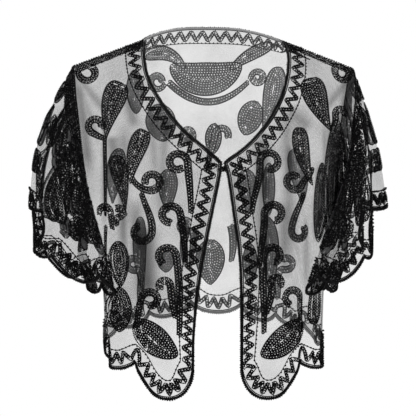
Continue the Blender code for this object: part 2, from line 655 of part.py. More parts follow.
def main():
    for obj in list(bpy.data.objects):
        bpy.data.objects.remove(obj, do_unlink=True)
    collection = bpy.data.collections.new("evening_stole")
    bpy.context.scene.collection.children.link(collection)
    make_materials()

    rows = np.arange(ROWS + 1.0)
    half_back = NECK_COLUMNS + SHOULDER_COLUMNS
    last = 2 * half_back
    back_across = np.arange(-half_back, half_back + 1) / half_back
    back = Panel(back_point(back_across[:, None], rows), 1.0)
    sides = {
        "left": (1.0, last, last - 1, np.arange(half_back + NECK_COLUMNS, last + 1)),
        "right": (-1.0, 0, 1, np.arange(SHOULDER_COLUMNS, -1, -1)),
    }
    front_across = np.arange(FRONT_COLUMNS + 1) / FRONT_COLUMNS
    sleeve_columns = 2 * UNDERARM_ROW * SLEEVE_SPLIT
    around = np.arange(sleeve_columns) / sleeve_columns
    down = np.arange(SLEEVE_ROWS + 1) / SLEEVE_ROWS
    front_run = [(0, row, 1, row) for row in range(ROWS)] + [(0, ROWS, 1, ROWS - 1)]
    front_run += [(column, ROWS, column, ROWS - 1) for column in range(1, FRONT_COLUMNS + 1)]
    for side, (sign, edge, inner, shoulder) in sides.items():
        flip = np.array([sign, 1.0, 1.0])
        front = Panel(front_point(side, front_across[:, None], rows) * flip, -sign)
        sleeve = Panel(sleeve_point(side, around[:, None], down) * flip, -sign, closed=True)
        sew_side(front, back, sleeve, edge, inner, shoulder)
        build_wall("front_" + side, front)
        build_wall("sleeve_" + side, sleeve)
        build_binding("binding_front_" + side, front, front_run, -SEAM_GAP / 2)
        sleeve_run = [(column, SLEEVE_ROWS, column, SLEEVE_ROWS - 1) for column in range(sleeve_columns)]
        build_binding("binding_sleeve_" + side, sleeve, sleeve_run)
    build_wall("back", back)
    neck = range(SHOULDER_COLUMNS, last - SHOULDER_COLUMNS + 1)
    build_binding("binding_back_neck", back, [(c, 0, c, 1) for c in neck], SEAM_GAP / 2)
    hem = range(last + 1)
    build_binding("binding_back_hem", back, [(c, ROWS, c, ROWS - 1) for c in hem], SEAM_GAP / 2)
    below = slice(CORNER_ROW, CORNER_ROW + 2)
    build_fastener(*(mix(*values[0, below], HOOK["below_corner"]) for values in (front.points, front.own)))


main()
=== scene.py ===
"""Evening stole: the worn look of the sheer net, its sequins, beads and corded edges.

Blender 4.5 script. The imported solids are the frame, in metres, and each dressed piece takes the
place of its own solid. The wearer's left is +X, the front faces -Y and the tables are in millimetres.
"""

import json
import math
from itertools import combinations, product

import bpy
import numpy as np
from mathutils import Vector
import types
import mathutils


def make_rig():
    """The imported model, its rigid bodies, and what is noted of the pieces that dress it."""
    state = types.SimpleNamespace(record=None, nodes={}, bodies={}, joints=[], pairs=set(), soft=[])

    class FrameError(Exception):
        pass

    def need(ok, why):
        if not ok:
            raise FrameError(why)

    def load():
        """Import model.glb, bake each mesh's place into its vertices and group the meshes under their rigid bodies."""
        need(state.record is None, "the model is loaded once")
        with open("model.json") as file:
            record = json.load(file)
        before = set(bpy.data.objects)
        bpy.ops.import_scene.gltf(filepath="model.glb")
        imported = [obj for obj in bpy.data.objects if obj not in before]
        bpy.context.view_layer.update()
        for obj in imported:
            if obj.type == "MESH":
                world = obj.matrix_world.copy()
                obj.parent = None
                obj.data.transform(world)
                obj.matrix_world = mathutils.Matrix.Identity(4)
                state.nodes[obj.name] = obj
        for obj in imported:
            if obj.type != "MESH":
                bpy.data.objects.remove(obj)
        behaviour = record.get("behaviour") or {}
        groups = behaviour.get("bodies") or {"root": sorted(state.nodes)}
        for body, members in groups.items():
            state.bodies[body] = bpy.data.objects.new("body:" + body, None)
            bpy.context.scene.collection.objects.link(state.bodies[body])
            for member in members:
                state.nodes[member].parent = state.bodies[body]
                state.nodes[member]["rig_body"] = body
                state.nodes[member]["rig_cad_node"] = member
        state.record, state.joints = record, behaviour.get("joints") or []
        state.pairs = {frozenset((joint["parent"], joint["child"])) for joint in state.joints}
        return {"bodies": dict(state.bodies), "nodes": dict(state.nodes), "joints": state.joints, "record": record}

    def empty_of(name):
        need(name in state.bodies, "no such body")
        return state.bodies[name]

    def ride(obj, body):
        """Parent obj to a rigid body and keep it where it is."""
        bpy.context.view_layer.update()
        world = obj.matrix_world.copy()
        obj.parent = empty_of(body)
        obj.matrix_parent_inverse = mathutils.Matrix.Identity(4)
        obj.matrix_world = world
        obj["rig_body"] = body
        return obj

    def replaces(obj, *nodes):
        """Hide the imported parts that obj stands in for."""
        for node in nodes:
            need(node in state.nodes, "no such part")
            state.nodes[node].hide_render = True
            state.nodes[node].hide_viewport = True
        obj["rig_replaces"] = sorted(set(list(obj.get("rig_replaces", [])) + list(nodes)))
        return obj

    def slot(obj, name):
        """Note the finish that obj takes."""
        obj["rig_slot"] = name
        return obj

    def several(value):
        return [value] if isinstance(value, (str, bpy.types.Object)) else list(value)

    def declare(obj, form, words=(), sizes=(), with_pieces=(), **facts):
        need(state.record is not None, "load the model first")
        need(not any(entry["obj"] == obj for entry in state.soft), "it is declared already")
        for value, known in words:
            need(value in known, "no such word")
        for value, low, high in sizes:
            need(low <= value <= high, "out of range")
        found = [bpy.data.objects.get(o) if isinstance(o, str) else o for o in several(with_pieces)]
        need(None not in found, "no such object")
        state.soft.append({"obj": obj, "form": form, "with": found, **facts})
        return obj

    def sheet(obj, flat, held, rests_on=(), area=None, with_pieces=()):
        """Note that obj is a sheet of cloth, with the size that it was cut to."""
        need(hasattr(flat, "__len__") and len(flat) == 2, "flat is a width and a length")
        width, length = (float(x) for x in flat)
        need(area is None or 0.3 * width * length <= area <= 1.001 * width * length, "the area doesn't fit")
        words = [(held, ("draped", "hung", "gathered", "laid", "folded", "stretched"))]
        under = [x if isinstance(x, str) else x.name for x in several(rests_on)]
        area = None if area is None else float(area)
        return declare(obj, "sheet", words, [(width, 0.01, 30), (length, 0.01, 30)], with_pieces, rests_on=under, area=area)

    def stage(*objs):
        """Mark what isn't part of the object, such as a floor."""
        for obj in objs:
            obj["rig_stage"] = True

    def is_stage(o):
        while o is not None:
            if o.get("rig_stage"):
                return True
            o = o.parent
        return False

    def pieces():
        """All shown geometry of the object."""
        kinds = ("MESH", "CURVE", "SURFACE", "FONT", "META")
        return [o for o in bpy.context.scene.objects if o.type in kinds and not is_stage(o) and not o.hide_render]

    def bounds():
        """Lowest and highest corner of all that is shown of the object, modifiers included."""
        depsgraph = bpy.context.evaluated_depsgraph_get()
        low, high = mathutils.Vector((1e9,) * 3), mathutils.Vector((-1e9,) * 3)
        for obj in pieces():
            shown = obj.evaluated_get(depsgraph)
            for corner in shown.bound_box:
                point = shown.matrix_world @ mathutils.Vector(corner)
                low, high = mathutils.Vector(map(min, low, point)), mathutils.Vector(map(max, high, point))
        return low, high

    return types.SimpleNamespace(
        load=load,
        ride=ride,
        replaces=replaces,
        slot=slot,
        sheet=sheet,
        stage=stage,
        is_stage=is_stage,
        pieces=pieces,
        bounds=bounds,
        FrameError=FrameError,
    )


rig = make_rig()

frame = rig.load()
solid_box = [list(corner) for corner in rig.bounds()]

MM = 0.001

# Neck and shoulders.
NECK_HALF = 103.0
SHOULDER_HALF = 200.0
SHOULDER_DROP = 37.0
NAPE_RISE = 24.0
NAPE_DEPTH = 66.0
NAPE_FLATNESS = 2.7
NAPE_ROUNDNESS = 0.9

# Heights of the underarm, the hooked neck corner and the hem.
UNDERARM_Z = -255.0
CORNER_Z = -175.5
FRONT_HEM_Z = -457.0
SIDE_HEM_Z = -424.0
BACK_HEM_Z = -374.0

# The rows run from the shoulder (0) through the underarm to the hem.
ROWS = 22
UNDERARM_ROW = 12
CORNER_ROW = 11
# The back's top edge: how much of each half, from its middle outwards, is neck.
NECK_SHARE = 13 / 24
# How the rows bunch up near the shoulder, and the places across towards each panel's middle.
ROW_POWER = 1.5
ARMHOLE_POWER = 1.45
FRONT_BUNCHING = 0.16
BACK_BUNCHING = 0.18

# The wearing figure's level sections: half width, and the superellipse's squareness.
SECTION = {
    "z": (20.0, -37.0, -75.0, -110.0, -150.0, -190.0, -225.0, -255.0, -300.0, -360.0, -420.0, -520.0),
    "half_width": (250.0, 247.0, 238.0, 224.0, 209.0, 196.0, 185.0, 176.0, 165.0, 157.5, 156.0, 156.0),
    "squareness": (3.0, 3.0, 2.95, 2.85, 2.7, 2.6, 2.5, 2.4, 2.35, 2.3, 2.2, 2.2),
}
# How far the cloth stands forward, or back, of the shoulder seam at each drop below it.
FRONT_PROFILE = {
    "drop": (0.0, 2.0, 8.0, 20.0, 40.0, 70.0, 110.0, 150.0, 190.0, 230.0, 280.0, 350.0, 450.0, 560.0),
    "forward": (0.0, 12.0, 25.0, 40.0, 53.0, 65.0, 80.0, 96.0, 112.0, 121.0, 120.0, 116.0, 110.0, 106.0),
}
BACK_PROFILE = {
    "drop": (0.0, 2.0, 6.0, 14.0, 28.0, 50.0, 80.0, 120.0, 160.0, 250.0, 400.0, 560.0),
    "back": (0.0, 17.0, 30.0, 45.0, 60.0, 75.0, 88.0, 97.0, 100.0, 98.0, 95.0, 93.0),
}
# The fronts' inner edge: the neck curve down to the hooked corner, then the open front.
NECK_EDGE = {
    "z": (0.0, -20.0, -41.0, -60.0, -80.0, -100.0, -120.0, -138.0, -152.0, -163.0, -171.0, -175.5),
    "right": (103.0, 105.0, 103.5, 98.5, 89.0, 77.0, 62.5, 46.0, 30.0, 18.0, 9.0, 4.6),
    "left": (103.0, 104.0, 102.0, 98.0, 91.0, 80.0, 67.0, 51.5, 37.0, 23.0, 10.5, 4.6),
}
OPEN_EDGE = {
    "z": (-175.5, -190.0, -209.0, -250.0, -284.0, -330.0, -377.0, -440.0, -520.0),
    "right": (4.6, 6.4, 10.0, 18.5, 25.0, 33.0, 38.5, 41.5, 42.0),
    "left": (4.6, 8.8, 12.0, 18.0, 23.5, 27.5, 28.5, 29.0, 29.0),
}
ARMHOLE_EDGE = {
    "z": (-37.0, -75.0, -110.0, -150.0, -190.0, -225.0, -241.0, -250.0, -255.0),
    "half_width": (200.0, 198.0, 195.0, 191.5, 187.5, 181.2, 178.3, 176.7, 176.0),
}

# Hem scallops, from the centre outwards: depth, where the lobe is lowest (a share of its width),
# and how full each side of it is (0.5 round, 1 pointed).
FRONT_SCALLOPS = {
    "depth": (43.0, 17.0),
    "lowest": (0.4, 0.5),
    "inner_fullness": (0.5, 1.0),
    "outer_fullness": (1.35, 0.55),
}
# Where the back hem's scallops meet, counted from its middle, minus to the wearer's right.
BACK_SCALLOP_ENDS = (-24, -16, -9, -2, 5, 11, 17, 24)
BACK_SCALLOP_DEPTH = 16.0
SLEEVE_SCALLOPS = 9
SLEEVE_SCALLOP_DEPTH = 17.0
SCALLOP_ROWS = 5.0
SCALLOP_ROW_POWER = 1.5
SLEEVE_SCALLOP_FROM = 0.6
SMALL_FULLNESS = 0.9
LOBE_POWER = 2.2

# Depth of the front and of the back of the figure, which sets the way a fold faces.
FRONT_DEPTH = 110.0
BACK_DEPTH = 95.0
# Soft folds of the hanging panels: place across the panel at the top and at the hem, half width
# (shares of the panel), height of the ridge (minus for a trough), and the row where it starts.
FRONT_FOLDS = {
    "top": (0.30, 0.50, 0.72, 0.86),
    "hem": (0.26, 0.52, 0.72, 0.87),
    "half_width": (0.12, 0.09, 0.09, 0.07),
    "height": (4.0, -5.0, 7.0, -4.0),
    "first_row": (9.0, 11.0, 11.0, 12.0),
}
BACK_FOLDS = {
    "top": (-0.78, -0.55, -0.30, -0.05, 0.22, 0.48, 0.76),
    "hem": (-0.80, -0.56, -0.33, -0.04, 0.25, 0.52, 0.79),
    "half_width": (0.09, 0.11, 0.09, 0.07, 0.10, 0.10, 0.09),
    "height": (7.0, -6.0, 6.0, 7.0, -6.0, 7.0, 6.0),
    "first_row": (11.0, 8.0, 9.0, 5.0, 8.0, 9.0, 11.0),
}

# Sleeve hem in plan: a bean-shaped ring round the arm, which wraps further over the front panel
# than over the back, its height at each angle round from the underarm, and its folds. A fold's
# place and half width are shares of the way round, and its height is minus for a trough.
SLEEVE_RING = {
    "right": {"centre": 219.0, "half_width": 37.0, "front": (102.0, 48.0), "back": (98.0, 33.0)},
    "left": {"centre": 204.0, "half_width": 25.0, "front": (110.0, 64.0), "back": (96.0, 23.0)},
}
SLEEVE_FRONT_ROUNDNESS = 0.85
SLEEVE_HEM = {
    "angle": (0.0, 50.0, 85.0, 110.0, 125.0, 138.0, 150.0, 160.0, 168.0, 180.0),
    "z": (-336.0, -338.0, -328.0, -316.0, -301.0, -284.0, -267.0, -248.0, -230.0, -214.0),
}
SLEEVE_FOLDS = {
    "right": {
        "around": (0.075, 0.145, 0.215, 0.287, 0.358, 0.43, 0.50, 0.57, 0.642, 0.713, 0.785, 0.855, 0.925),
        "half_width": (0.07, 0.07, 0.072, 0.072, 0.072, 0.072, 0.07, 0.072, 0.072, 0.072, 0.071, 0.07, 0.07),
        "height": (5.0, -6.0, 5.0, -9.0, 14.0, 3.0, 6.0, -12.0, 14.0, -9.0, 6.0, -7.0, 4.0),
    },
    "left": {
        "around": (0.07, 0.13, 0.195, 0.275, 0.345, 0.42, 0.50, 0.58, 0.65, 0.72, 0.79, 0.86, 0.93),
        "half_width": (0.07, 0.07, 0.07, 0.07, 0.07, 0.078, 0.075, 0.078, 0.07, 0.07, 0.07, 0.07, 0.07),
        "height": (4.0, -2.0, 0.0, -3.0, 3.0, -9.0, 22.0, -9.0, 10.0, -8.0, 6.0, -6.0, 5.0),
    },
}
# How soon the sleeve spreads out from its seam: at the shoulder, and forwards and inwards in front.
SLEEVE_OUT_POWER = 2.0
SLEEVE_FORWARD_POWER = 3.0
SLEEVE_INWARD_POWER = 2.0
SLEEVE_FRONT_FROM = 0.7
SLEEVE_FRONT_FADE = 0.7
UNDERARM_BELLY = 15.0
RING_STEPS = 720
FOLD_POWER = 1.25

# The net is drawn on a grid of this many steps across and down.
NET_STEPS = {"front": (64, 170), "back": (170, 150), "sleeve": (288, 56)}
# A small step over the cloth, as a share of it, and how a drawn place is found on the cloth.
SLOPE_STEP = 1.5e-3
FINDING = {"known": 179, "tries": 6, "most": 90, "miss": 1.5, "pace_tries": 3, "least_pace": 0.2}

# Border: how far in from the edge the beaded line and the ends of the zigzag's strokes lie, how
# wide a stroke is, how smoothly the border turns a corner, and where the edge beads are.
BORDER = {
    "beaded_line": 23.5, "near": 4.6, "far": 19.5, "tooth": 8.4,
    "ease": 8.0, "ease_reach": 30, "depth_step": 3.0, "rolled": 1.0, "probe": 2.0,
}

# Sequins, threads, beads and the corded edge. A sequin is a cupped ring that leans forward along
# its row and sways a little.
SEQUIN = {
    "radius": 2.65, "uneven": 0.12, "most_uneven": 0.3, "cup": 0.35, "pitch": 4.2, "least_gap": 3.1,
    "lift": 0.9, "tilt": 7.0, "forward": 0.8, "sway": 0.7,
}
SEQUIN_HOLE = {"front": 0.58, "back": 0.8, "sleeve": 0.46}
SEQUIN_SIDES = 8
BEAD = {"radius": 1.1, "pitch": 3.0}
LINE_BEAD = {"radius": 1.55, "pitch": 5.8}
SEAM_BEAD = {"radius": 1.35, "pitch": 3.7}
EDGE_BEAD = {"radius": 1.05, "pitch": 2.5}
THREAD = {"radius": 0.65, "sides": 4, "step": 1.8, "sunk": 0.6}
CORD = {
    "radius": 1.9, "sides": 8, "twist": 2.6, "twist_depth": 0.28, "step": 1.3,
    "bead_pitch": 3.0, "bead_radius": 1.15, "bead_shift": 0.35, "bead_out": 0.9, "bead_in": 0.3,
}
# The beads sewn in a knot over the fastening.
KNOT = {"beads": 34, "radius": 1.2, "spread": (2.2, 0.8, 2.6)}

# A stroke's rows and edge threads, and where and how far it narrows. A curl opens from a share of
# its radius. A filled shape's outer row lies in from its thread and the next ones follow, in pitches.
STROKE = {
    "row_offset": 2.05, "edge_offset": 4.8, "closer": 1.2, "taper_from": 0.6, "taper_to": 0.6,
    "least": 4,
}
CURL = {"steps": 40, "inner": 0.62, "opening": 1.3}
SHAPE = {
    "steps": 80, "roundness": 0.55, "tip": 0.02,
    "inset": 0.6, "first_row": 1.02, "next_row": 0.86, "spare": 0.4, "along": 0.96, "least": 3,
}

# Curls: the middle of the curl, its radius, the angle of its inner end, how far it turns, then
# where its stem ends and the way the stem points there (degrees, from the wearer's left, upwards).
CURLS = {
    "front_right": (
        (-181, -46, 13.1, 75, -255, -200, -47, 110), (-170, -123, 11, -20, 262, -157, -141, -12),
        (-61, -176, 13.2, -45, -317, -44, -244, -90), (-98, -201, 12.2, 205, -303, -123, -195, 105),
        (-110, -269, 13.8, 115, 245, -111, -216, 105), (-72, -248, 13.8, -85, -268, -51, -311, -88),
        (-77, -305, 13.8, -120, -235, -59, -413, -92), (-80, -345, 9, -140, -215, -64, -388, -72),
        (-98, -364, 11.7, -95, 262, -103, -428, -48), (-160, -244, 9, 200, -200, -148, -266, -70),
        (-142, -242, 7, 120, -200, -143, -262, -95),
    ),
    "front_left": (
        (182, -44, 12.5, 60, -285, 196, -38, 60), (175, -106, 9, -10, 200, 159, -129, -115),
        (100, -200, 12.4, 40, 300, 127, -181, 95), (66, -175, 14.1, -110, 295, 40, -244, -92),
        (71, -246, 13.8, -80, 265, 51, -319, -92), (108, -268, 11.9, 45, -235, 114, -216, 72),
        (70, -304, 13.1, -75, 255, 58, -410, -92), (76, -341, 8.6, -40, 235, 62, -382, -104),
        (98, -363, 12.8, -105, -262, 107, -426, -118),
    ),
    "back": (
        (-73, -51, 11, 0, 330, -62, -53, -60), (74, -45, 9, 180, 330, 64, -47, 90),
        (25, -130, 12, -20, 195, 4, -172, -90), (-26, -128, 9, 0, 320, -18, -128, 60),
        (-30, -262, 10, 40, 250, -22, -322, -80), (-108, -318, 10, 30, 250, -100, -372, -80),
        (115, -318, 10, 150, -250, 104, -372, -100),
    ),
}
# Filled shapes: where they start and end, their half width, how far they bend (a share of their
# length), how near the start they are widest (1 in the middle) and how pointed their end is.
FILLED = {
    "front_right": (
        (-136, -62, -157, -142, 16.3, 0.1, 0.62, 0.5), (-104, -130, -125, -204, 12.7, 0.12, 0.62, 0.35),
        (-146, -165, -132, -242, 11.3, -0.06, 0.62, 0.5), (-115, -391, -61, -440, 19, 0.14, 0.9, 0),
        (-138, -347, -138, -409, 16, 0, 1, 0), (-141, -283, -137, -347, 13, 0, 0.9, 0.2),
        (-156, -300, -155, -405, 8, 0, 1, 0),
    ),
    "front_left": (
        (131, -54, 159, -130, 18.2, 0.08, 0.62, 0.45), (112, -125, 127, -206, 11.9, 0.12, 0.62, 0.3),
        (113, -393, 54, -440, 19, -0.14, 0.9, 0), (133, -400, 137, -307, 9.7, 0, 0.62, 0.4),
        (143, -174, 137, -284, 11, 0, 1, 0), (168, -112, 158, -290, 18, 0, 1, 0),
    ),
    "back": (
        (-54, -27, 50, -25, 24, 0.4, 1, 0), (-95, -17, -32, -32, 10, -0.42, 0.62, 0),
        (90, 0, 34, -33, 9, 0.12, 0.62, 0), (101, -30, 84, -123, 15, -0.1, 0.8, 0.3),
        (73, -79, 57, -128, 18, 0, 0.9, 0), (-72, -84, -63, -138, 22, 0, 0.9, 0),
        (6, -284, 5, -350, 21, 0, 0.85, 0.1), (-62, -302, -60, -331, 12, 0, 0.9, 0),
        (-108, -36, -104, -98, 13, 0, 0.9, 0), (12, -112, 9, -157, 12, 0, 0.9, 0),
        (-55, -180, -57, -244, 14, 0.05, 0.8, 0.3), (58, -180, 60, -244, 14, -0.05, 0.8, 0.3),
        (-98, -250, -94, -362, 10, 0.06, 0.8, 0.3), (93, -170, 91, -248, 9, 0, 0.9, 0),
        (64, -290, 63, -350, 11, 0, 0.9, 0), (88, -250, 92, -362, 13, -0.06, 0.8, 0.3),
        (-128, -150, -140, -230, 13, 0.06, 0.8, 0.3), (128, -150, 140, -230, 13, -0.06, 0.8, 0.3),
    ),
}
# Plain strokes: where they start and end, how far they bend and how many rows of sequins they have.
STEMS = {
    "front_right": (
        (-159, -138, -158, -247, 0, 1), (-157, -262, -152, -340, 0.05, 1),
    ),
    "front_left": (),
    "back": (
        (-56, -52, 62, -50, 0.49, 2), (36, -263, 36, -317, -0.12, 2), (-30, -262, -32, -320, 0.12, 2),
    ),
}
# The sleeves' design repeats round the arm. Places are millimetres along the hem and up from it.
SLEEVE_REPEATS = 8
SLEEVE_ROUND = 750.0
SLEEVE_GRID = (180, 39)
SLEEVE_CURLS = (
    (20, 62, 12, -60, 300, 36, 50, -40), (58, 140, 14, 200, -300, 30, 116, 200),
    (20, 172, 12, 0, 300, 46, 188, 60),
)
SLEEVE_FILLED = (
    (54, 52, 70, 128, 21, 0.14, 0.7, 0.4), (12, 84, 24, 150, 17, -0.12, 0.7, 0.4),
    (74, 140, 84, 215, 15, 0.1, 0.7, 0.4),
)
# Close-sewn places where the front of the arm meets the side.
SLEEVE_SOLID = (
    (150, 56, 150, 196, 24, 0, 1, 0), (195, 52, 198, 190, 24, 0, 1, 0), (238, 60, 242, 170, 18, 0, 1, 0),
)
# Depths of the rows of sequins beside the armhole and the shoulder seam.
SEAM_ROWS = (2.5, 6.0, 9.5, 13.0, 16.5)
SHOULDER_ROWS = tuple(1.5 + 3.7 * row for row in range(8))
# How far from a seam the net lies double.
SEAM_BAND = 9.0
# Creases: where each starts and ends as seen from the front, its half width and how deep it lies. Each crease also
# darkens the net there as painted shade.
CREASES = {
    "front_right": (
        (-159, -98, -160, -262, 4, 1), (-140, -190, -131, -330, 5, 0.7), (-198, -50, -150, -112, 6, 0.8),
        (-198, -52, -166, -150, 5, 0.6), (-196, -56, -180, -190, 8, 1), (-150, -138, -147, -170, 10, 1),
        (-128, -80, -118, -126, 8, 0.9), (-120, -230, -112, -340, 9, 0.8), (-96, -110, -92, -190, 5, 0.5),
        (-103, -268, -99, -362, 14, 1.1),
    ),
    "front_left": (
        (197, -44, 150, -100, 6, 0.8), (196, -50, 163, -150, 6, 0.8), (150, -120, 146, -260, 5, 0.8),
        (96, -150, 92, -215, 4, 0.9), (84, -230, 88, -330, 9, 0.8), (56, -150, 55, -230, 6, 0.8),
        (118, -250, 122, -350, 5, 0.6), (98, -100, 128, -126, 12, 0.8), (168, -118, 158, -290, 16, 1.6),
        (143, -176, 137, -284, 9, 1.4),
    ),
    "back": (
        (-98, -260, -92, -372, 12, 0.9), (-122, -120, -126, -300, 9, 0.7), (-60, -110, -70, -250, 7, 0.6),
        (84, -130, 80, -360, 12, 0.9), (118, -100, 124, -300, 9, 0.7), (40, -180, 46, -300, 6, 0.5),
    ),
}
# How far a crease sinks the net, and how much painted shade it adds to the net's alpha.
CREASE_DEPTH = 1.0
CREASE_SHADE = 1.35
CREASE_FADE = {"in": 4, "start": 0.4, "out": 3, "end": 0.3}
# Each sheet as it was cut: its widest and longest, and its area, in metres.
FLAT = {
    "front": {"flat": (0.235, 0.47), "area": 0.083},
    "back": {"flat": (0.50, 0.43), "area": 0.184},
    "sleeve": {"flat": (0.75, 0.235), "area": 0.082},
}


def table_curve(x_knots, y_knots):
    """A smooth curve through the knots that never overshoots them (monotone cubic)."""
    x = np.array(x_knots, float)
    y = np.array(y_knots, float)
    if x[0] > x[-1]:
        x, y = x[::-1], y[::-1]
    step = np.diff(x)
    rise = np.diff(y) / step
    slope = np.empty(len(x))
    slope[0], slope[-1] = rise[0], rise[-1]
    for i in range(1, len(x) - 1):
        if rise[i - 1] * rise[i] <= 0:
            slope[i] = 0.0
            continue
        before, after = step[i - 1], step[i]
        weight_a, weight_b = 2 * after + before, after + 2 * before
        slope[i] = (weight_a + weight_b) / (weight_a / rise[i - 1] + weight_b / rise[i])

    def curve(value):
        value = np.clip(value, x[0], x[-1])
        i = np.clip(np.searchsorted(x, value) - 1, 0, len(step) - 1)
        t = (value - x[i]) / step[i]
        return (
            y[i] * (1 + 2 * t) * (1 - t) ** 2
            + y[i + 1] * t * t * (3 - 2 * t)
            + step[i] * (slope[i] * t * (1 - t) ** 2 + slope[i + 1] * t * t * (t - 1))
        )

    return curve


def mix(a, b, share):
    return a + (b - a) * share


def smooth(value):
    value = np.clip(value, 0.0, 1.0)
    return value * value * (3 - 2 * value)


half_width_at = table_curve(SECTION["z"], SECTION["half_width"])
squareness_at = table_curve(SECTION["z"], SECTION["squareness"])
sleeve_hem_at = table_curve(SLEEVE_HEM["angle"], SLEEVE_HEM["z"])
armhole_at = table_curve(ARMHOLE_EDGE["z"], ARMHOLE_EDGE["half_width"])
front_of_root_drop = table_curve(np.sqrt(FRONT_PROFILE["drop"]), FRONT_PROFILE["forward"])
back_of_root_drop = table_curve(np.sqrt(BACK_PROFILE["drop"]), BACK_PROFILE["back"])
root_drop_of_back = table_curve(BACK_PROFILE["back"][:9], np.sqrt(BACK_PROFILE["drop"][:9]))


def shoulder_line(x):
    """Height of the straight shoulder seam, carried on towards the centre."""
    return -SHOULDER_DROP * (x - NECK_HALF) / (SHOULDER_HALF - NECK_HALF)


def section_angle(x, z):
    """Angle round the figure's section at height z where it is x from the centre."""
    share = np.clip(x / half_width_at(z), 0.0, 1.0)
    return np.arcsin(share ** (squareness_at(z) / 2))


def side_height(row):
    """Height of the armhole's, then the side seam's, point on a row."""
    above = 1 - (1 - np.clip(row / UNDERARM_ROW, 0, 1) ** ROW_POWER) ** ARMHOLE_POWER
    below = np.clip((row - UNDERARM_ROW) / (ROWS - UNDERARM_ROW), 0, 1)
    return -SHOULDER_DROP + (UNDERARM_Z + SHOULDER_DROP) * above + (SIDE_HEM_Z - UNDERARM_Z) * below


def side_angle(row):
    z = side_height(row)
    return np.where(row >= UNDERARM_ROW, math.pi / 2, section_angle(armhole_at(z), z))


def side_half_width(row):
    z = side_height(row)
    return np.where(row >= UNDERARM_ROW, half_width_at(z), armhole_at(z))


def depth_share(angle, power):
    """How much of its full depth the figure has at an angle: none at the side and beyond."""
    share = np.clip(np.cos(angle), 0.0, 1.0) ** power
    return np.where(angle >= math.pi / 2 - 1e-9, 0.0, share)


def lobe(share, lowest, inner, outer):
    """One scallop, 0 to 1 across, with a bottom of 1 and each side its own fullness."""
    before = share < lowest
    away = np.where(before, (lowest - share) / lowest, (share - lowest) / (1 - lowest))
    return np.clip(1 - away**LOBE_POWER, 0.0, 1.0) ** np.where(before, inner, outer)


def small_lobe(share):
    return lobe(share, 0.5, SMALL_FULLNESS, SMALL_FULLNESS)


def ridge(away):
    """A fold's height, from 1 on its ridge to 0 at its half width."""
    return np.cos(np.clip(away, 0, 1) * math.pi / 2) ** 2


def fold_height(folds, across, row):
    """Height of the folds at a place across the panel and a row."""
    total = np.zeros(np.broadcast(across, row).shape)
    for top, hem, wide, high, first in zip(*folds.values()):
        ramp = np.clip((row - first) / (ROWS - first), 0, 1) ** FOLD_POWER
        total = total + high * ramp * ridge(np.abs(across - mix(top, hem, row / ROWS)) / wide)
    return total


def scallop_share(row):
    """How much of the hem's scallop shows on a row: none above the last few."""
    return np.clip((row - (ROWS - SCALLOP_ROWS)) / SCALLOP_ROWS, 0, 1) ** SCALLOP_ROW_POWER


def front_edge(side, row):
    """(x, z) of the front's inner edge on a row: down the neck, then down the open front."""
    above = CORNER_Z * np.clip(row / CORNER_ROW, 0, 1) ** ROW_POWER
    below = np.clip((row - CORNER_ROW) / (ROWS - CORNER_ROW), 0, 1)
    z = above + (FRONT_HEM_Z - CORNER_Z) * below
    neck = table_curve(NECK_EDGE["z"], NECK_EDGE[side])
    opening = table_curve(OPEN_EDGE["z"], OPEN_EDGE[side])
    return np.where(row <= CORNER_ROW, neck(z), opening(z)), z


def front_point(side, across, row):
    """A front panel's point: across 0 at the opening to 1 at the armhole and side seam."""
    across, row = np.broadcast_arrays(np.asarray(across, float), np.asarray(row, float))
    x_in, z_in = front_edge(side, row)
    x_out, z_out = side_half_width(row), side_height(row)
    eased = across * (1 - FRONT_BUNCHING + FRONT_BUNCHING * across)
    z_level = mix(z_in, z_out, across)
    angle = mix(section_angle(x_in, z_in), side_angle(row), eased)
    power = 2 / squareness_at(z_level)
    width = half_width_at(z_level)
    x = width * np.sin(angle) ** power
    x = np.where(across == 0, x_in, np.where(across == 1, x_out, x))
    drop = mix(shoulder_line(x_in) - z_in, shoulder_line(x_out) - z_out, across)
    drop = np.where(row == 0, 0.0, drop)
    y = -front_of_root_drop(np.sqrt(np.maximum(drop, 0.0))) * depth_share(angle, power)
    z = shoulder_line(x) - drop
    fold = fold_height(FRONT_FOLDS, across, row)
    lean = np.arctan2(np.sin(angle) / width, np.cos(angle) / FRONT_DEPTH)
    x = x + fold * np.sin(lean)
    y = y - fold * np.cos(lean)
    lobes = len(FRONT_SCALLOPS["depth"])
    number = np.clip(np.floor(across * lobes), 0, lobes - 1).astype(int)
    depth, *shape = (np.array(column)[number] for column in FRONT_SCALLOPS.values())
    z = z - depth * lobe(across * lobes - number, *shape) * scallop_share(row)
    return np.stack([x, y, z], -1)


def nape_edge(share):
    """(x, y, z) of the back's top edge, 0 at the centre to 1 at the side-neck point."""
    turn = share * math.pi / 2
    x = NECK_HALF * np.sin(turn)
    y = NAPE_DEPTH * np.cos(turn) ** NAPE_ROUNDNESS
    z = NAPE_RISE * (1 - (x / NECK_HALF) ** NAPE_FLATNESS)
    return x, y, z


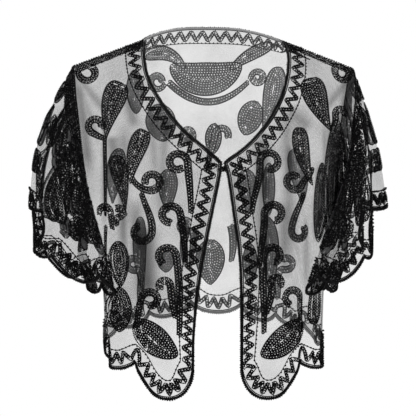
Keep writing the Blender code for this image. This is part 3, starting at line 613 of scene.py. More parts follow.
def back_point(across, row):
    """The back's point: across -1 to 1, from the wearer's right side to the left."""
    across, row = np.broadcast_arrays(np.asarray(across, float), np.asarray(row, float))
    half = np.abs(across)
    x_nape, y_nape, z_nape = nape_edge(np.clip(half / NECK_SHARE, 0, 1))
    along = np.clip((half - NECK_SHARE) / (1 - NECK_SHARE), 0, 1)
    on_neck = half < NECK_SHARE
    x_top = np.where(on_neck, x_nape, mix(NECK_HALF, SHOULDER_HALF, along))
    z_top = np.where(on_neck, z_nape, shoulder_line(x_top))
    y_top = np.where(on_neck, y_nape, 0.0)
    angle_top = section_angle(x_top, z_top)
    settled = half * (1 - BACK_BUNCHING + BACK_BUNCHING * half)
    shares = mix(angle_top / side_angle(0.0), settled, smooth(row / UNDERARM_ROW))
    angle = side_angle(row) * np.where(half == 1, 1.0, shares)
    fall = (side_height(row) - side_height(0.0)) / (SIDE_HEM_Z + SHOULDER_DROP)
    drop = fall * mix(NAPE_RISE - BACK_HEM_Z, -SHOULDER_DROP - SIDE_HEM_Z, half)
    z = z_top - drop
    level = np.minimum(z, 0.0)
    power = 2 / squareness_at(level)
    width = half_width_at(level)
    x = np.where(half == 1, side_half_width(row), width * np.sin(angle) ** power)
    sideways_top = np.cos(angle_top) ** (2 / squareness_at(z_top))
    started = np.where(y_top > 0, root_drop_of_back(y_top / sideways_top), 0.0) ** 2
    y = back_of_root_drop(np.sqrt(np.maximum(started + drop, 0.0))) * depth_share(angle, power)
    x = np.where(row == 0, x_top, x)
    y = np.where(row == 0, y_top, y)
    fold = fold_height(BACK_FOLDS, across, row)
    lean = np.arctan2(np.sin(angle) / width, np.cos(angle) / BACK_DEPTH)
    x = (x + fold * np.sin(lean)) * np.where(across < 0, -1.0, 1.0)
    y = y + fold * np.cos(lean)
    ends = np.array(BACK_SCALLOP_ENDS) / BACK_SCALLOP_ENDS[-1]
    number = np.clip(np.searchsorted(ends, across, "right") - 1, 0, len(ends) - 2)
    share = (across - ends[number]) / (ends[number + 1] - ends[number])
    z = z - BACK_SCALLOP_DEPTH * small_lobe(share) * scallop_share(row)
    return np.stack([x, y, z], -1)


def armhole_point(side, around):
    """The armhole seam, 0 at the underarm, 0.5 at the shoulder and 1 at the underarm again."""
    around = np.asarray(around, float)
    ahead = front_point(side, np.ones_like(around), UNDERARM_ROW * np.clip(1 - 2 * around, 0, 1))
    behind = back_point(np.ones_like(around), UNDERARM_ROW * np.clip(2 * around - 1, 0, 1))
    return np.where((around <= 0.5)[..., None], ahead, behind)


def sleeve_ring(side, turn):
    """(x, y) of the sleeve's hem in plan at an angle round from the underarm, before its folds."""
    ring = SLEEVE_RING[side]
    cosine, sine = np.cos(turn), np.sin(turn)
    ahead = sine > 0
    depth, wrap = (np.where(ahead, *pair) for pair in zip(ring["front"], ring["back"]))
    x = ring["centre"] - ring["half_width"] * cosine - wrap * sine**2 * (1 + cosine)
    return x, -depth * np.where(ahead, np.abs(sine) ** SLEEVE_FRONT_ROUNDNESS, sine)


def ring_turn(side, around):
    """Angle round from the underarm, each half of the ring shared out along its own length."""
    turns = np.linspace(0, 2 * math.pi, RING_STEPS + 1)
    x, y = sleeve_ring(side, turns)
    length = np.concatenate([[0.0], np.cumsum(np.hypot(np.diff(x), np.diff(y)))])
    ahead = length[RING_STEPS // 2]
    share = np.minimum(length / ahead, 1) + np.maximum(length - ahead, 0) / (length[-1] - ahead)
    return np.interp(around, share / 2, turns)


def sleeve_point(side, around, down):
    """A sleeve's point: around the arm as armhole_point, down 0 at the seam to 1 at the hem."""
    around, down = np.broadcast_arrays(np.asarray(around, float), np.asarray(down, float))
    seam = armhole_point(side, around)
    turn = ring_turn(side, around)
    hem_x, hem_y = sleeve_ring(side, turn)
    hem_z = sleeve_hem_at(np.degrees(np.minimum(turn, 2 * math.pi - turn)))
    outwards = (1 - np.cos(turn)) / 2
    in_front = np.clip(np.sin(turn), 0.0, 1.0) * smooth((SLEEVE_FRONT_FROM - outwards) / SLEEVE_FRONT_FADE)
    spread = mix(down, 1 - (1 - down) ** SLEEVE_OUT_POWER, outwards**2)
    spread_inward = mix(spread, 1 - (1 - down) ** SLEEVE_INWARD_POWER, in_front)
    spread_forward = mix(spread, 1 - (1 - down) ** SLEEVE_FORWARD_POWER, in_front)
    belly = UNDERARM_BELLY * 4 * down * (1 - down) * (1 - outwards)
    fold = np.zeros(around.shape)
    for place, wide, high in zip(*SLEEVE_FOLDS[side].values()):
        fold = fold + high * ridge(np.abs(around - place) / wide)
    fold = fold * down**FOLD_POWER
    ahead_x, ahead_y = sleeve_ring(side, ring_turn(side, np.mod(around + 1 / RING_STEPS, 1)))
    behind_x, behind_y = sleeve_ring(side, ring_turn(side, np.mod(around - 1 / RING_STEPS, 1)))
    run_x, run_y = ahead_x - behind_x, ahead_y - behind_y
    run = np.hypot(run_x, run_y)
    x = mix(seam[..., 0], hem_x, spread_inward) + belly + fold * run_y / run
    y = mix(seam[..., 1], hem_y, spread_forward) - belly * np.sin(turn) - fold * run_x / run
    z = mix(seam[..., 2], hem_z, down)
    number = np.floor(np.clip(around, 0, 1 - 1e-9) * SLEEVE_SCALLOPS)
    shown = np.clip((down - SLEEVE_SCALLOP_FROM) / (1 - SLEEVE_SCALLOP_FROM), 0, 1) ** SCALLOP_ROW_POWER
    z = z - SLEEVE_SCALLOP_DEPTH * small_lobe(around * SLEEVE_SCALLOPS - number) * shown
    return np.stack([x, y, z], -1)


def unit(vectors):
    return vectors / np.maximum(np.linalg.norm(vectors, axis=-1, keepdims=True), 1e-12)


def lengths_along(points):
    """Distance from the first point to each point of a line."""
    steps = np.linalg.norm(np.diff(points, axis=0), axis=-1)
    return np.concatenate([[0.0], np.cumsum(steps)])


def read_along(values, places, wanted):
    return np.stack([np.interp(wanted, places, values[:, k]) for k in range(values.shape[1])], -1)


def headings(points, closed=False):
    """The way a line runs at each of its points."""
    if closed:
        return unit(np.roll(points, -1, 0) - np.roll(points, 1, 0))
    return unit(np.gradient(points, axis=0))


class Cloth:
    """A panel of net. A place on it is two numbers, across and down, and it keeps what is sewn on."""

    def __init__(self, name, place, across, down, facing, closed=False):
        self.name, self.kind = name, name.split("_")[0]
        self.place, self.facing, self.closed = place, facing, closed
        self.low, self.high = np.array([across[0], 0.0]), np.array([across[1], down])
        self.sequins, self.beads, self.threads = [], [], []
        self.taken = {}
        self.map = None

    def clip(self, at):
        if self.closed:
            at = np.stack([np.mod(at[..., 0], 1.0), at[..., 1]], -1)
        return np.clip(at, self.low, self.high)

    def inside(self, at):
        within = (at >= self.low) & (at <= self.high)
        return within[..., 1] if self.closed else within.all(-1)

    def point(self, at):
        at = self.clip(at)
        return self.place(at[..., 0], at[..., 1])

    def grid(self, across, down):
        """Places on a grid of that many steps across and down."""
        axes = [np.linspace(self.low[k], self.high[k], (across, down)[k] + 1) for k in (0, 1)]
        return np.stack(np.meshgrid(*axes, indexing="ij"), -1)

    def runs(self, at, least=4):
        """The unbroken runs of a line of places that lie on the cloth."""
        keep = self.inside(at).astype(int)
        turns = np.flatnonzero(np.diff(np.concatenate([[0], keep, [0]])))
        return [at[first:end] for first, end in zip(turns[::2], turns[1::2]) if end - first >= least]

    def slopes(self, at):
        """How the point moves with across and with down."""
        found = []
        for k in (0, 1):
            step = np.zeros(2)
            step[k] = (self.high[k] - self.low[k]) * SLOPE_STEP
            ahead, behind = at + step, at - step
            if k == 1 or not self.closed:
                ahead, behind = self.clip(ahead), self.clip(behind)
            span = np.linalg.norm(ahead - behind, axis=-1, keepdims=True)
            found.append((self.point(ahead) - self.point(behind)) / np.maximum(span, 1e-9))
        return found

    def outward(self, at):
        return unit(np.cross(*self.slopes(at))) * self.facing

    def walk(self, at, way):
        """The place that lies a short way from at, over the cloth."""
        across, down = self.slopes(at)
        aa, ad, dd = (np.sum(p * q, -1) for p, q in ((across, across), (across, down), (down, down)))
        wa, wd = np.sum(way * across, -1), np.sum(way * down, -1)
        area = np.maximum(aa * dd - ad * ad, 1e-9)
        return at + np.stack([(wa * dd - wd * ad) / area, (wd * aa - wa * ad) / area], -1)

    def pace(self, at, way, length):
        """The place a given length away from at, over the cloth, however steeply it bends."""
        step = self.walk(at, way * length) - at
        start = self.point(at)
        for _ in range(FINDING["pace_tries"]):
            moved = np.linalg.norm(self.point(at + step) - start, axis=-1, keepdims=True)
            step = step * length / np.maximum(moved, length * FINDING["least_pace"])
        return at + step

    def find(self, drawn):
        """The places seen from the front at drawn (x, z), worked out from the nearest known ones."""
        if self.map is None:
            known = self.grid(FINDING["known"], FINDING["known"]).reshape(-1, 2)
            self.map = known, self.point(known)[:, [0, 2]]
        known, seen = self.map
        near = [np.argmin(np.sum((seen - spot) ** 2, -1)) for spot in drawn]
        at = known[near]
        most = (self.high - self.low) / FINDING["most"]
        for _ in range(FINDING["tries"]):
            across, down = (slope[:, [0, 2]] for slope in self.slopes(at))
            miss = drawn - self.point(at)[:, [0, 2]]
            area = across[:, 0] * down[:, 1] - across[:, 1] * down[:, 0]
            area = np.where(np.abs(area) < 1e-6, 1e-6, area)
            step_across = (miss[:, 0] * down[:, 1] - miss[:, 1] * down[:, 0]) / area
            step_down = (across[:, 0] * miss[:, 1] - across[:, 1] * miss[:, 0]) / area
            at = self.clip(at + np.clip(np.stack([step_across, step_down], -1), -most, most))
        lost = np.linalg.norm(drawn - self.point(at)[:, [0, 2]], axis=-1) > FINDING["miss"]
        return np.where(lost[:, None], self.high + 1.0, at)

    def sew_sequins(self, at, heading=None):
        """Adds each sequin that has room, with the way its row runs."""
        if heading is None:
            heading = headings(self.point(at))
        cell = SEQUIN["least_gap"]
        keep = self.inside(at)
        for spot, place, way in zip(self.point(at[keep]), at[keep], heading[keep]):
            i, j, k = np.floor(spot / cell).astype(int)
            around = (self.taken.get((i + a, j + b, k + c)) for a, b, c in product((-1, 0, 1), repeat=3))
            if all(other is None or np.sum((other - spot) ** 2) >= cell**2 for other in around):
                self.taken[i, j, k] = spot
                self.sequins.append((place, way))

    def sew_line(self, at, bead=BEAD):
        """A thread over the cloth, with a bead on it at every pitch."""
        for run in self.runs(at):
            self.threads.append(run)
            along = lengths_along(self.point(run))
            if along[-1] > bead["pitch"]:
                places = read_along(run, along, np.arange(bead["pitch"] / 2, along[-1], bead["pitch"]))
                self.beads.append(np.column_stack([places, np.full(len(places), bead["radius"])]))

    def sew_stroke(self, at, rows=2, taper=True):
        """Rows of sequins between two beaded threads, along a line of places."""
        for run in self.runs(at):
            along = lengths_along(self.point(run))
            wanted = np.arange(0.0, along[-1], SEQUIN["pitch"] / 2)
            if len(wanted) < STROKE["least"]:
                continue
            run = read_along(run, along, wanted)
            heading = headings(self.point(run))
            beside = unit(np.cross(self.outward(run), heading))
            narrow = np.ones(len(wanted))
            if taper:
                begun = STROKE["taper_from"]
                tapered = np.clip((wanted / along[-1] - begun) / (1 - begun), 0, 1)
                narrow = 1 - (1 - STROKE["taper_to"]) * tapered
            for row in range(rows):
                shift = (row - (rows - 1) / 2) * 2 * STROKE["row_offset"] * narrow
                odd = np.arange(row % 2, len(run), 2)
                placed = self.walk(run, beside * shift[:, None])
                self.sew_sequins(placed[odd], heading[odd])
            reach = STROKE["edge_offset"] - (2 - rows) * STROKE["row_offset"] * STROKE["closer"]
            for sign in (-1, 1):
                self.sew_line(self.walk(run, beside * (sign * reach * narrow)[:, None]))

    def fill_shape(self, drawing, find):
        """Rows of sequins that follow a shape's outline inwards, with a beaded thread round it."""
        *ends, radius, bend, skew, point = drawing
        middle = bent_line(*ends, bend, SHAPE["steps"])
        along = headings(middle)
        aside = np.stack([-along[:, 1], along[:, 0]], -1)
        t = np.linspace(0, 1, SHAPE["steps"])
        half = np.sin(math.pi * t**skew).clip(0) ** SHAPE["roundness"] * (1 - t) ** point
        half = radius * half / half.max()
        outline = np.concatenate([middle + aside * half[:, None], (middle - aside * half[:, None])[::-1]])
        self.sew_line(find(np.concatenate([outline, outline[:1]])))
        pitch = SEQUIN["pitch"]
        inset = pitch * SHAPE["inset"]
        to_next = SHAPE["first_row"]
        within = (t > SHAPE["tip"]) & (t < 1 - SHAPE["tip"])
        while inset < radius + pitch / 2:
            deep = (half > inset - pitch * SHAPE["spare"]) & within
            if deep.sum() >= SHAPE["least"]:
                reach = (aside * np.maximum(half - inset, 0.0)[:, None])[deep]
                one, other = middle[deep] + reach, middle[deep] - reach
                for run in self.runs(find(np.concatenate([one, other[::-1], one[:1]]))):
                    places = lengths_along(self.point(run))
                    run = read_along(run, places, np.arange(0, places[-1], pitch * SHAPE["along"]))
                    if len(run) >= SHAPE["least"]:
                        self.sew_sequins(run)
            inset += pitch * to_next
            to_next = SHAPE["next_row"]


def curl_line(x, z, radius, start, turn, tip_x, tip_z, tip_way):
    """A curl that opens from its inner end, then runs out in a stem."""
    share = np.linspace(0, 1, CURL["steps"])
    angle = np.radians(start + turn * share)
    reach = radius * (CURL["inner"] + (1 - CURL["inner"]) * smooth(share * CURL["opening"]))
    curl = np.stack([x + reach * np.cos(angle), z + reach * np.sin(angle)], -1)
    leaving = unit(curl[-1] - curl[-2])
    tip = np.array([tip_x, tip_z], float)
    way = np.array([math.cos(math.radians(tip_way)), math.sin(math.radians(tip_way))])
    span = np.linalg.norm(tip - curl[-1])
    t = share[1:, None]
    stem = (
        curl[-1] * (1 + 2 * t) * (1 - t) ** 2
        + tip * t * t * (3 - 2 * t)
        + leaving * span * t * (1 - t) ** 2
        + way * span * t * t * (t - 1)
    )
    return np.concatenate([curl, stem])


def bent_line(x, z, tip_x, tip_z, bend, steps=48):
    """A line between two points that bows to one side."""
    start, tip = np.array([x, z], float), np.array([tip_x, tip_z], float)
    t = np.linspace(0, 1, steps)[:, None]
    aside = np.array([tip_z - z, x - tip_x])
    return start + (tip - start) * t + aside * bend * 2 * t * (1 - t)


class Border:
    """The strip inside a cut edge, met by millimetres along the edge and in from it."""

    def __init__(self, cloth, edge, closed=False, deep=BORDER["beaded_line"]):
        self.cloth = cloth
        along = lengths_along(cloth.point(edge))
        self.length = along[-1]
        self.places = np.linspace(0, self.length, int(round(self.length)) + 1)
        self.edge = read_along(edge, along, self.places)
        inward = np.cross(cloth.outward(self.edge), headings(cloth.point(self.edge), closed))
        reach = BORDER["ease_reach"]
        weight = np.exp(-((np.arange(-reach, reach + 1) / BORDER["ease"]) ** 2) / 2)
        padded = np.pad(inward, ((reach, reach), (0, 0)), mode="wrap" if closed else "edge")
        inward = unit(np.stack([np.convolve(padded[:, k], weight, "valid") for k in range(3)], -1))
        probe = cloth.walk(self.edge, inward * BORDER["probe"])
        if cloth.inside(probe).mean() < 0.5:
            inward = -inward
        self.inward = inward
        grid = [self.edge]
        for _ in range(int(deep / BORDER["depth_step"]) + 2):
            outward = cloth.outward(grid[-1])
            flat = inward - outward * np.sum(inward * outward, -1, keepdims=True)
            grid.append(cloth.pace(grid[-1], unit(flat), BORDER["depth_step"]))
        self.grid = np.stack(grid, 1)

    def at(self, along, depth):
        """Places at millimetres along the edge and in from it."""
        across, down = self.grid.shape[:2]
        column = np.clip(np.asarray(along) / self.length * (across - 1), 0, across - 1.001)
        row = np.clip(np.asarray(depth) / BORDER["depth_step"], 0, down - 1.001)
        i, j = column.astype(int), row.astype(int)
        s, t = (column - i)[:, None], (row - j)[:, None]
        here, deeper = (self.grid[i, j + k] * (1 - s) + self.grid[i + 1, j + k] * s for k in (0, 1))
        return here * (1 - t) + deeper * t

    def sew_line(self, depth, *bead, step=0.5):
        """A beaded thread that keeps its distance from the edge."""
        fine = np.linspace(0, self.length, int(self.length / step))
        self.cloth.sew_line(self.at(fine, np.full(len(fine), depth)), *bead)

    def sew_rows(self, depths):
        """Rows of sequins beside a seam, each row half a sequin on from the last."""
        for row, depth in enumerate(depths):
            places = np.arange(row % 2 * SEQUIN["pitch"] / 2, self.length, SEQUIN["pitch"])
            self.cloth.sew_sequins(self.at(places, np.full(len(places), depth)))

    def sew_trim(self):
        """The border's zigzag of sequins, the beaded line inside it and the one on its edge."""
        teeth = 2 * int(round(self.length / BORDER["tooth"] / 2))
        turns = np.linspace(0, self.length, teeth + 1)
        depth = np.where(np.arange(teeth + 1) % 2 == 0, BORDER["near"], BORDER["far"])
        fine = np.linspace(0, self.length, int(self.length * 2))
        self.cloth.sew_stroke(self.at(fine, np.interp(fine, turns, depth)), rows=1, taper=False)
        self.sew_line(BORDER["beaded_line"], LINE_BEAD)
        self.sew_line(BORDER["rolled"], EDGE_BEAD)


def make_mesh(name, points, faces, uv=None, smooth_faces=True):
    """A mesh object from arrays: points in millimetres, and the corners of its faces."""
    mesh = bpy.data.meshes.new(name)
    mesh.vertices.add(len(points))
    mesh.vertices.foreach_set("co", (np.asarray(points) * MM).astype(np.float32).ravel())
    sides = faces.shape[-1]
    corners = faces.ravel()
    mesh.loops.add(len(corners))
    mesh.loops.foreach_set("vertex_index", corners.astype(np.int32))
    count = len(corners) // sides
    mesh.polygons.add(count)
    mesh.polygons.foreach_set("loop_start", (np.arange(count) * sides).astype(np.int32))
    mesh.polygons.foreach_set("use_smooth", np.full(count, smooth_faces))
    if uv is not None:
        layer = mesh.uv_layers.new(name="cloth")
        layer.data.foreach_set("uv", (uv[corners] * MM).astype(np.float32).ravel())
    mesh.update(calc_edges=True)
    obj = bpy.data.objects.new(name, mesh)
    bpy.context.scene.collection.objects.link(obj)
    return obj


def store(obj, name, value):
    """Keeps a number for every point of a mesh, for its material."""
    kept = obj.data.attributes.new(name, "FLOAT", "POINT")
    kept.data.foreach_set("value", value.ravel().astype(np.float32))


def dress(obj, material, slot, *nodes):
    """Gives a piece its material, and its place in the frame."""
    obj.data.materials.append(material)
    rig.ride(obj, "root")
    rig.slot(obj, slot)
    if nodes:
        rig.replaces(obj, *nodes)
    return obj


def creases_at(name, points):
    """How deep each point lies in a crease, 0 to 1, which sinks the net and darkens it there as painted shade."""
    value = np.zeros(points.shape[:2])
    for x, z, far_x, far_z, wide, deep in CREASES.get(name, ()):
        start, run = np.array([x, z], float), np.array([far_x - x, far_z - z], float)
        offset = points[..., [0, 2]] - start
        share = (offset @ run) / (run @ run)
        away = np.linalg.norm(offset - np.clip(share, 0, 1)[..., None] * run, axis=-1)
        ends = smooth(share * CREASE_FADE["in"] + CREASE_FADE["start"])
        ends = ends * smooth((1 - share) * CREASE_FADE["out"] + CREASE_FADE["end"])
        value = np.maximum(value, deep * np.exp(-((away / wide) ** 2)) * ends)
    return value


def build_net(cloth):
    """The panel's net: one layer, with coordinates that run over it in metres, sunk at its creases and darkened there
    by painted shade.
    """
    across, down = NET_STEPS[cloth.kind]
    at = cloth.grid(across, down)
    points = cloth.point(at)
    over, under = (np.linalg.norm(np.diff(points, axis=k), axis=-1) for k in (0, 1))
    over = np.concatenate([np.zeros((1, down + 1)), np.cumsum(over, 0)])
    under = np.concatenate([np.zeros((across + 1, 1)), np.cumsum(under, 1)], 1)
    uv = np.stack([over - over[across // 2], under], -1).reshape(-1, 2)
    number = np.arange((across + 1) * (down + 1)).reshape(across + 1, down + 1)
    faces = np.stack([number[:-1, :-1], number[1:, :-1], number[1:, 1:], number[:-1, 1:]], -1)
    crease = creases_at(cloth.name, points)
    sunk = points - cloth.outward(at) * (crease * CREASE_DEPTH)[..., None]
    net = make_mesh("net_" + cloth.name, sunk.reshape(-1, 3), faces[..., :: cloth.facing], uv)
    sides = {"front": [points[-1:]], "back": [points[:1], points[-1:]], "sleeve": []}[cloth.kind]
    away = [np.linalg.norm(points - seam, axis=-1) for seam in [points[:, :1], *sides]]
    gathers = [np.clip(1 - from_seam / SEAM_BAND, 0, 1) for from_seam in away]
    if cloth.kind == "back":
        gathers[0] = gathers[0] * (np.abs(at[..., 0]) > NECK_SHARE)
    # gathered holds the net doubled along its seams and, from the creases, painted shade.
    store(net, "gathered", np.max([*gathers, crease * CREASE_SHADE], axis=0))
    return net


def tilted(normals, heading, rng):
    """Frames for the sequins, each leaning a little its own way."""
    heading = unit(heading - normals * np.sum(heading * normals, -1, keepdims=True))
    aside = np.cross(normals, heading)
    lean = np.radians(SEQUIN["tilt"])
    forward = math.sin(lean) * SEQUIN["forward"] + rng.normal(0, lean * SEQUIN["sway"], len(normals))
    sideways = rng.normal(0, lean * SEQUIN["sway"], len(normals))
    axis = unit(normals + heading * forward[:, None] + aside * sideways[:, None])
    first = unit(heading - axis * np.sum(heading * axis, -1, keepdims=True))
    return axis, first, np.cross(axis, first)


def circle(first, second, sides):
    """Directions round a circle, one set for each pair of axes."""
    turns = np.arange(sides) * 2 * math.pi / sides
    return first[:, None] * np.cos(turns)[None, :, None] + second[:, None] * np.sin(turns)[None, :, None]


def build_sequins(cloth, rng):
    """All the panel's sequins as one mesh of small cupped rings."""
    at, heading = (np.array(column) for column in zip(*cloth.sequins))
    normals = cloth.outward(at)
    centre = (cloth.point(at) + normals * SEQUIN["lift"])[:, None]
    axis, *across = tilted(normals, heading, rng)
    ways = circle(*across, SEQUIN_SIDES)
    most = SEQUIN["most_uneven"]
    hole = SEQUIN_HOLE[cloth.kind] + rng.normal(0, SEQUIN["uneven"], len(at)).clip(-most, most)
    inner = centre + ways * hole[:, None, None] - (axis * SEQUIN["cup"])[:, None]
    points = np.concatenate([inner, centre + ways * SEQUIN["radius"]], 1).reshape(-1, 3)
    ring = np.arange(SEQUIN_SIDES)
    after = np.roll(ring, -1)
    quads = np.stack([ring, ring + SEQUIN_SIDES, after + SEQUIN_SIDES, after], -1)
    faces = np.arange(len(at))[:, None, None] * 2 * SEQUIN_SIDES + quads
    return make_mesh("sequins_" + cloth.name, points, faces)


def icosahedron():
    golden = (1 + 5**0.5) / 2
    points = []
    for a, b in product((-1, 1), (-golden, golden)):
        points += [(0, a, b), (a, b, 0), (b, 0, a)]
    points = unit(np.array(points, float))
    faces = []
    for i, j, k in combinations(range(12), 3):
        if max(np.linalg.norm(points[p] - points[q]) for p, q in ((i, j), (j, k), (i, k))) < 1.1:
            out = np.dot(np.cross(points[j] - points[i], points[k] - points[i]), points[i])
            faces.append((i, j, k) if out > 0 else (i, k, j))
    return points, np.array(faces)


def build_beads(name, centres, radius, rng):
    """Round beads as one mesh, each turned its own way."""
    shape, faces = icosahedron()
    spin = np.linalg.qr(rng.normal(size=(len(centres), 3, 3)))[0]
    points = centres[:, None] + np.einsum("nij,kj->nki", spin, shape) * np.reshape(radius, (-1, 1, 1))
    flip = np.linalg.det(spin) < 0
    corners = np.where(flip[:, None, None], faces[None, :, ::-1], faces[None])
    corners = corners + np.arange(len(centres))[:, None, None] * len(shape)
    return make_mesh(name, points.reshape(-1, 3), corners)


def tube(points, normals, radius, sides, closed=False):
    """Points and faces of a round tube along a line, radius a number or one at each corner."""
    heading = headings(points, closed)
    aside = unit(np.cross(heading, normals))
    rings = circle(aside, np.cross(aside, heading), sides)
    corners = points[:, None] + rings * np.broadcast_to(radius, (len(points), sides))[..., None]
    number = np.arange(len(points) * sides).reshape(-1, sides)
    if closed:
        number = np.concatenate([number, number[:1]])
    ahead = np.roll(number, -1, 1)
    faces = np.stack([number[:-1], ahead[:-1], ahead[1:], number[1:]], -1).reshape(-1, 4)
    return corners.reshape(-1, 3), faces


def build_threads(cloth):
    """All the panel's threads as one mesh of fine tubes."""
    points, faces, count = [], [], 0
    for run in cloth.threads:
        along = lengths_along(cloth.point(run))
        count_along = max(3, int(along[-1] / THREAD["step"]))
        at = read_along(run, along, np.linspace(0, along[-1], count_along))
        normals = cloth.outward(at)
        centre = cloth.point(at) + normals * THREAD["radius"]
        some, corners = tube(centre, normals, THREAD["radius"], THREAD["sides"])
        points.append(some)
        faces.append(corners + count)
        count += len(some)
    return make_mesh("threads_" + cloth.name, np.concatenate(points), np.concatenate(faces))


def build_corded_edge(border, name, rng):
    """The cord rolled into a cut edge, twisted, with small beads along its outside."""
    cloth = border.cloth
    places = np.arange(0, border.length, CORD["step"])
    at = read_along(border.edge, border.places, places)
    inward = unit(read_along(border.inward, border.places, places))
    normals = cloth.outward(at)
    centre = cloth.point(at) - inward * CORD["radius"]
    sides = CORD["sides"]
    turns = np.arange(sides) / sides
    twist = np.cos(2 * math.pi * (places[:, None] / CORD["twist"] + turns[None] * 2))
    points, faces = tube(centre, normals, CORD["radius"] + CORD["twist_depth"] * twist, sides, cloth.closed)
    cord = make_mesh(name, points, faces)
    away = points.reshape(len(centre), sides, 3) - centre[:, None]
    store(cord, "inner", np.clip(0.5 - np.sum(away * normals[:, None], -1) / CORD["radius"], 0, 1))
    beads = np.arange(0, border.length, CORD["bead_pitch"])
    shift = rng.normal(0, CORD["bead_shift"], (len(beads), 2))
    way = read_along(-inward, places, beads) * (CORD["bead_out"] + shift[:, :1] * CORD["bead_in"])
    spot = read_along(centre, places, beads) + way * CORD["radius"]
    spot = spot + read_along(normals, places, beads) * shift[:, 1:]
    return cord, build_beads("beads_" + name, spot, CORD["bead_radius"], rng)


class Nodes:
    """A short way to lay out a shader tree: each call adds a node and links what it is given."""

    def __init__(self, tree):
        self.tree = tree
        tree.nodes.clear()

    def feed(self, socket, value):
        if isinstance(value, bpy.types.NodeSocket):
            self.tree.links.new(value, socket)
        else:
            socket.default_value = value

    def add(self, kind, settings=(), inputs=()):
        """A node, its settings by name and its inputs by name or number."""
        node = self.tree.nodes.new("ShaderNode" + kind)
        for name, value in dict(settings).items():
            setattr(node, name, value)
        for socket, value in dict(inputs).items():
            self.feed(node.inputs[socket], value)
        return node

    def maths(self, operation, *values, clamp=False):
        settings = {"operation": operation, "use_clamp": clamp}
        return self.add("Math", settings, enumerate(values)).outputs[0]

    def vector(self, operation, *values):
        node = self.add("VectorMath", {"operation": operation}, enumerate(values))
        return node.outputs["Value" if operation in ("DOT_PRODUCT", "LENGTH") else "Vector"]

    def ramp(self, value, low, high, to_low=0.0, to_high=1.0):
        names = ("Value", "From Min", "From Max", "To Min", "To Max")
        inputs = zip(names, (value, low, high, to_low, to_high))
        return self.add("MapRange", {"interpolation_type": "SMOOTHSTEP"}, inputs).outputs["Result"]

    def blend(self, share, first, second):
        return self.add("Mix", {"data_type": "RGBA"}, {0: share, 6: first, 7: second}).outputs[2]

    def attribute(self, name):
        return self.add("Attribute", {"attribute_name": name}).outputs["Fac"]

    def spot(self):
        return self.add("TexCoord").outputs["Object"]

    def camera_ray(self):
        return self.add("LightPath").outputs["Is Camera Ray"]

    def uneven(self, scale, low, high):
        inputs = {"Scale": scale, "Low": low, "High": high}
        return self.add("Group", {"node_tree": UNEVEN}, inputs).outputs["Value"]


def new_group(name, inputs, output):
    """A shader node group with one output, and what it is given by name."""
    tree = bpy.data.node_groups.new(name, "ShaderNodeTree")
    nodes = Nodes(tree)
    for label, value in inputs.items():
        kind = "NodeSocketVector" if value is None else "NodeSocketFloat"
        socket = tree.interface.new_socket(label, in_out="INPUT", socket_type=kind)
        if value is not None:
            socket.default_value = value
    tree.interface.new_socket(output, in_out="OUTPUT", socket_type="NodeSocketFloat")
    given, out = tree.nodes.new("NodeGroupInput"), tree.nodes.new("NodeGroupOutput")
    return nodes, given.outputs, out.inputs[output]


def net_mesh_group():
    """Six-sided net: how much of each spot is thread, from coordinates in metres."""
    nodes, given, out = new_group("net_mesh", {"Vector": None, **NET_MESH}, "Thread")
    wide = nodes.add("CombineXYZ", (), {"X": 1.0, "Y": 3**0.5, "Z": 1.0}).outputs[0]
    size = nodes.add("CombineXYZ", (), {"X": given["Cell"], "Y": given["Cell"], "Z": 1.0}).outputs[0]
    place = nodes.vector("DIVIDE", given["Vector"], size)
    centre = (0.5, 3**0.5 / 2, 0.0)
    offsets = []
    for shift in ((0.0, 0.0, 0.0), centre):
        moved = nodes.vector("ADD", place, shift)
        whole = nodes.vector("FLOOR", nodes.vector("DIVIDE", moved, wide))
        wrapped = nodes.vector("SUBTRACT", moved, nodes.vector("MULTIPLY", whole, wide))
        offsets.append(nodes.vector("SUBTRACT", wrapped, centre))
    near = nodes.maths("LESS_THAN", *(nodes.vector("LENGTH", offset) for offset in offsets))
    pick = nodes.add("Mix", {"data_type": "VECTOR"}, {0: near, 4: offsets[1], 5: offsets[0]})
    inside = nodes.vector("ABSOLUTE", pick.outputs[1])
    slanted = nodes.vector("DOT_PRODUCT", inside, centre)
    upright = nodes.add("SeparateXYZ", (), {"Vector": inside}).outputs["X"]
    edge = nodes.maths("SUBTRACT", 0.5, nodes.maths("MAXIMUM", slanted, upright))
    soft = nodes.maths("MULTIPLY", given["Thread"], 0.5)
    nodes.feed(out, nodes.ramp(edge, soft, given["Thread"], 1.0, 0.0))
    return nodes.tree


def uneven_group():
    """Slow variation over a finish, between two values: dye, wear and handling."""
    nodes, given, out = new_group("uneven", {"Scale": 60.0, "Low": 0.0, "High": 1.0}, "Value")
    inputs = {"Vector": nodes.spot(), "Scale": given["Scale"], **UNEVEN_NOISE}
    noise = nodes.add("TexNoise", (), inputs).outputs["Fac"]
    nodes.feed(out, nodes.ramp(noise, *UNEVEN_SPREAD, given["Low"], given["High"]))
    return nodes.tree


# Net: the size of its cells in metres and the share of them that is thread, then how opaque its
# holes and threads are, how that varies where it hangs slack or close, and what the doubled seams
# and the painted crease shade add.
NET_MESH = {"Cell": 0.0011, "Thread": 0.16}
NET_ALPHA = {"hole": 0.115, "thread": 0.52, "scale": 9.0, "slack": 0.75, "close": 1.3, "gathered": 0.42}
NET_SHEEN = 0.05
BLACK_DYE = (0.005, 0.005, 0.006, 1.0)
DYES = (BLACK_DYE, (0.014, 0.0135, 0.014, 1.0))
WORN_DYES = ((0.27, 0.27, 0.274, 1.0), (0.4, 0.4, 0.405, 1.0))
JAPAN_DYES = (BLACK_DYE, (0.05, 0.048, 0.045, 1.0))
SILVERED_BACK = (0.8, 0.8, 0.81, 1.0)
SILVERED_ROUGHNESS = 0.6
INNER_DYE = (0.8, 0.8, 0.805, 1.0)
WORN_METAL = 0.5
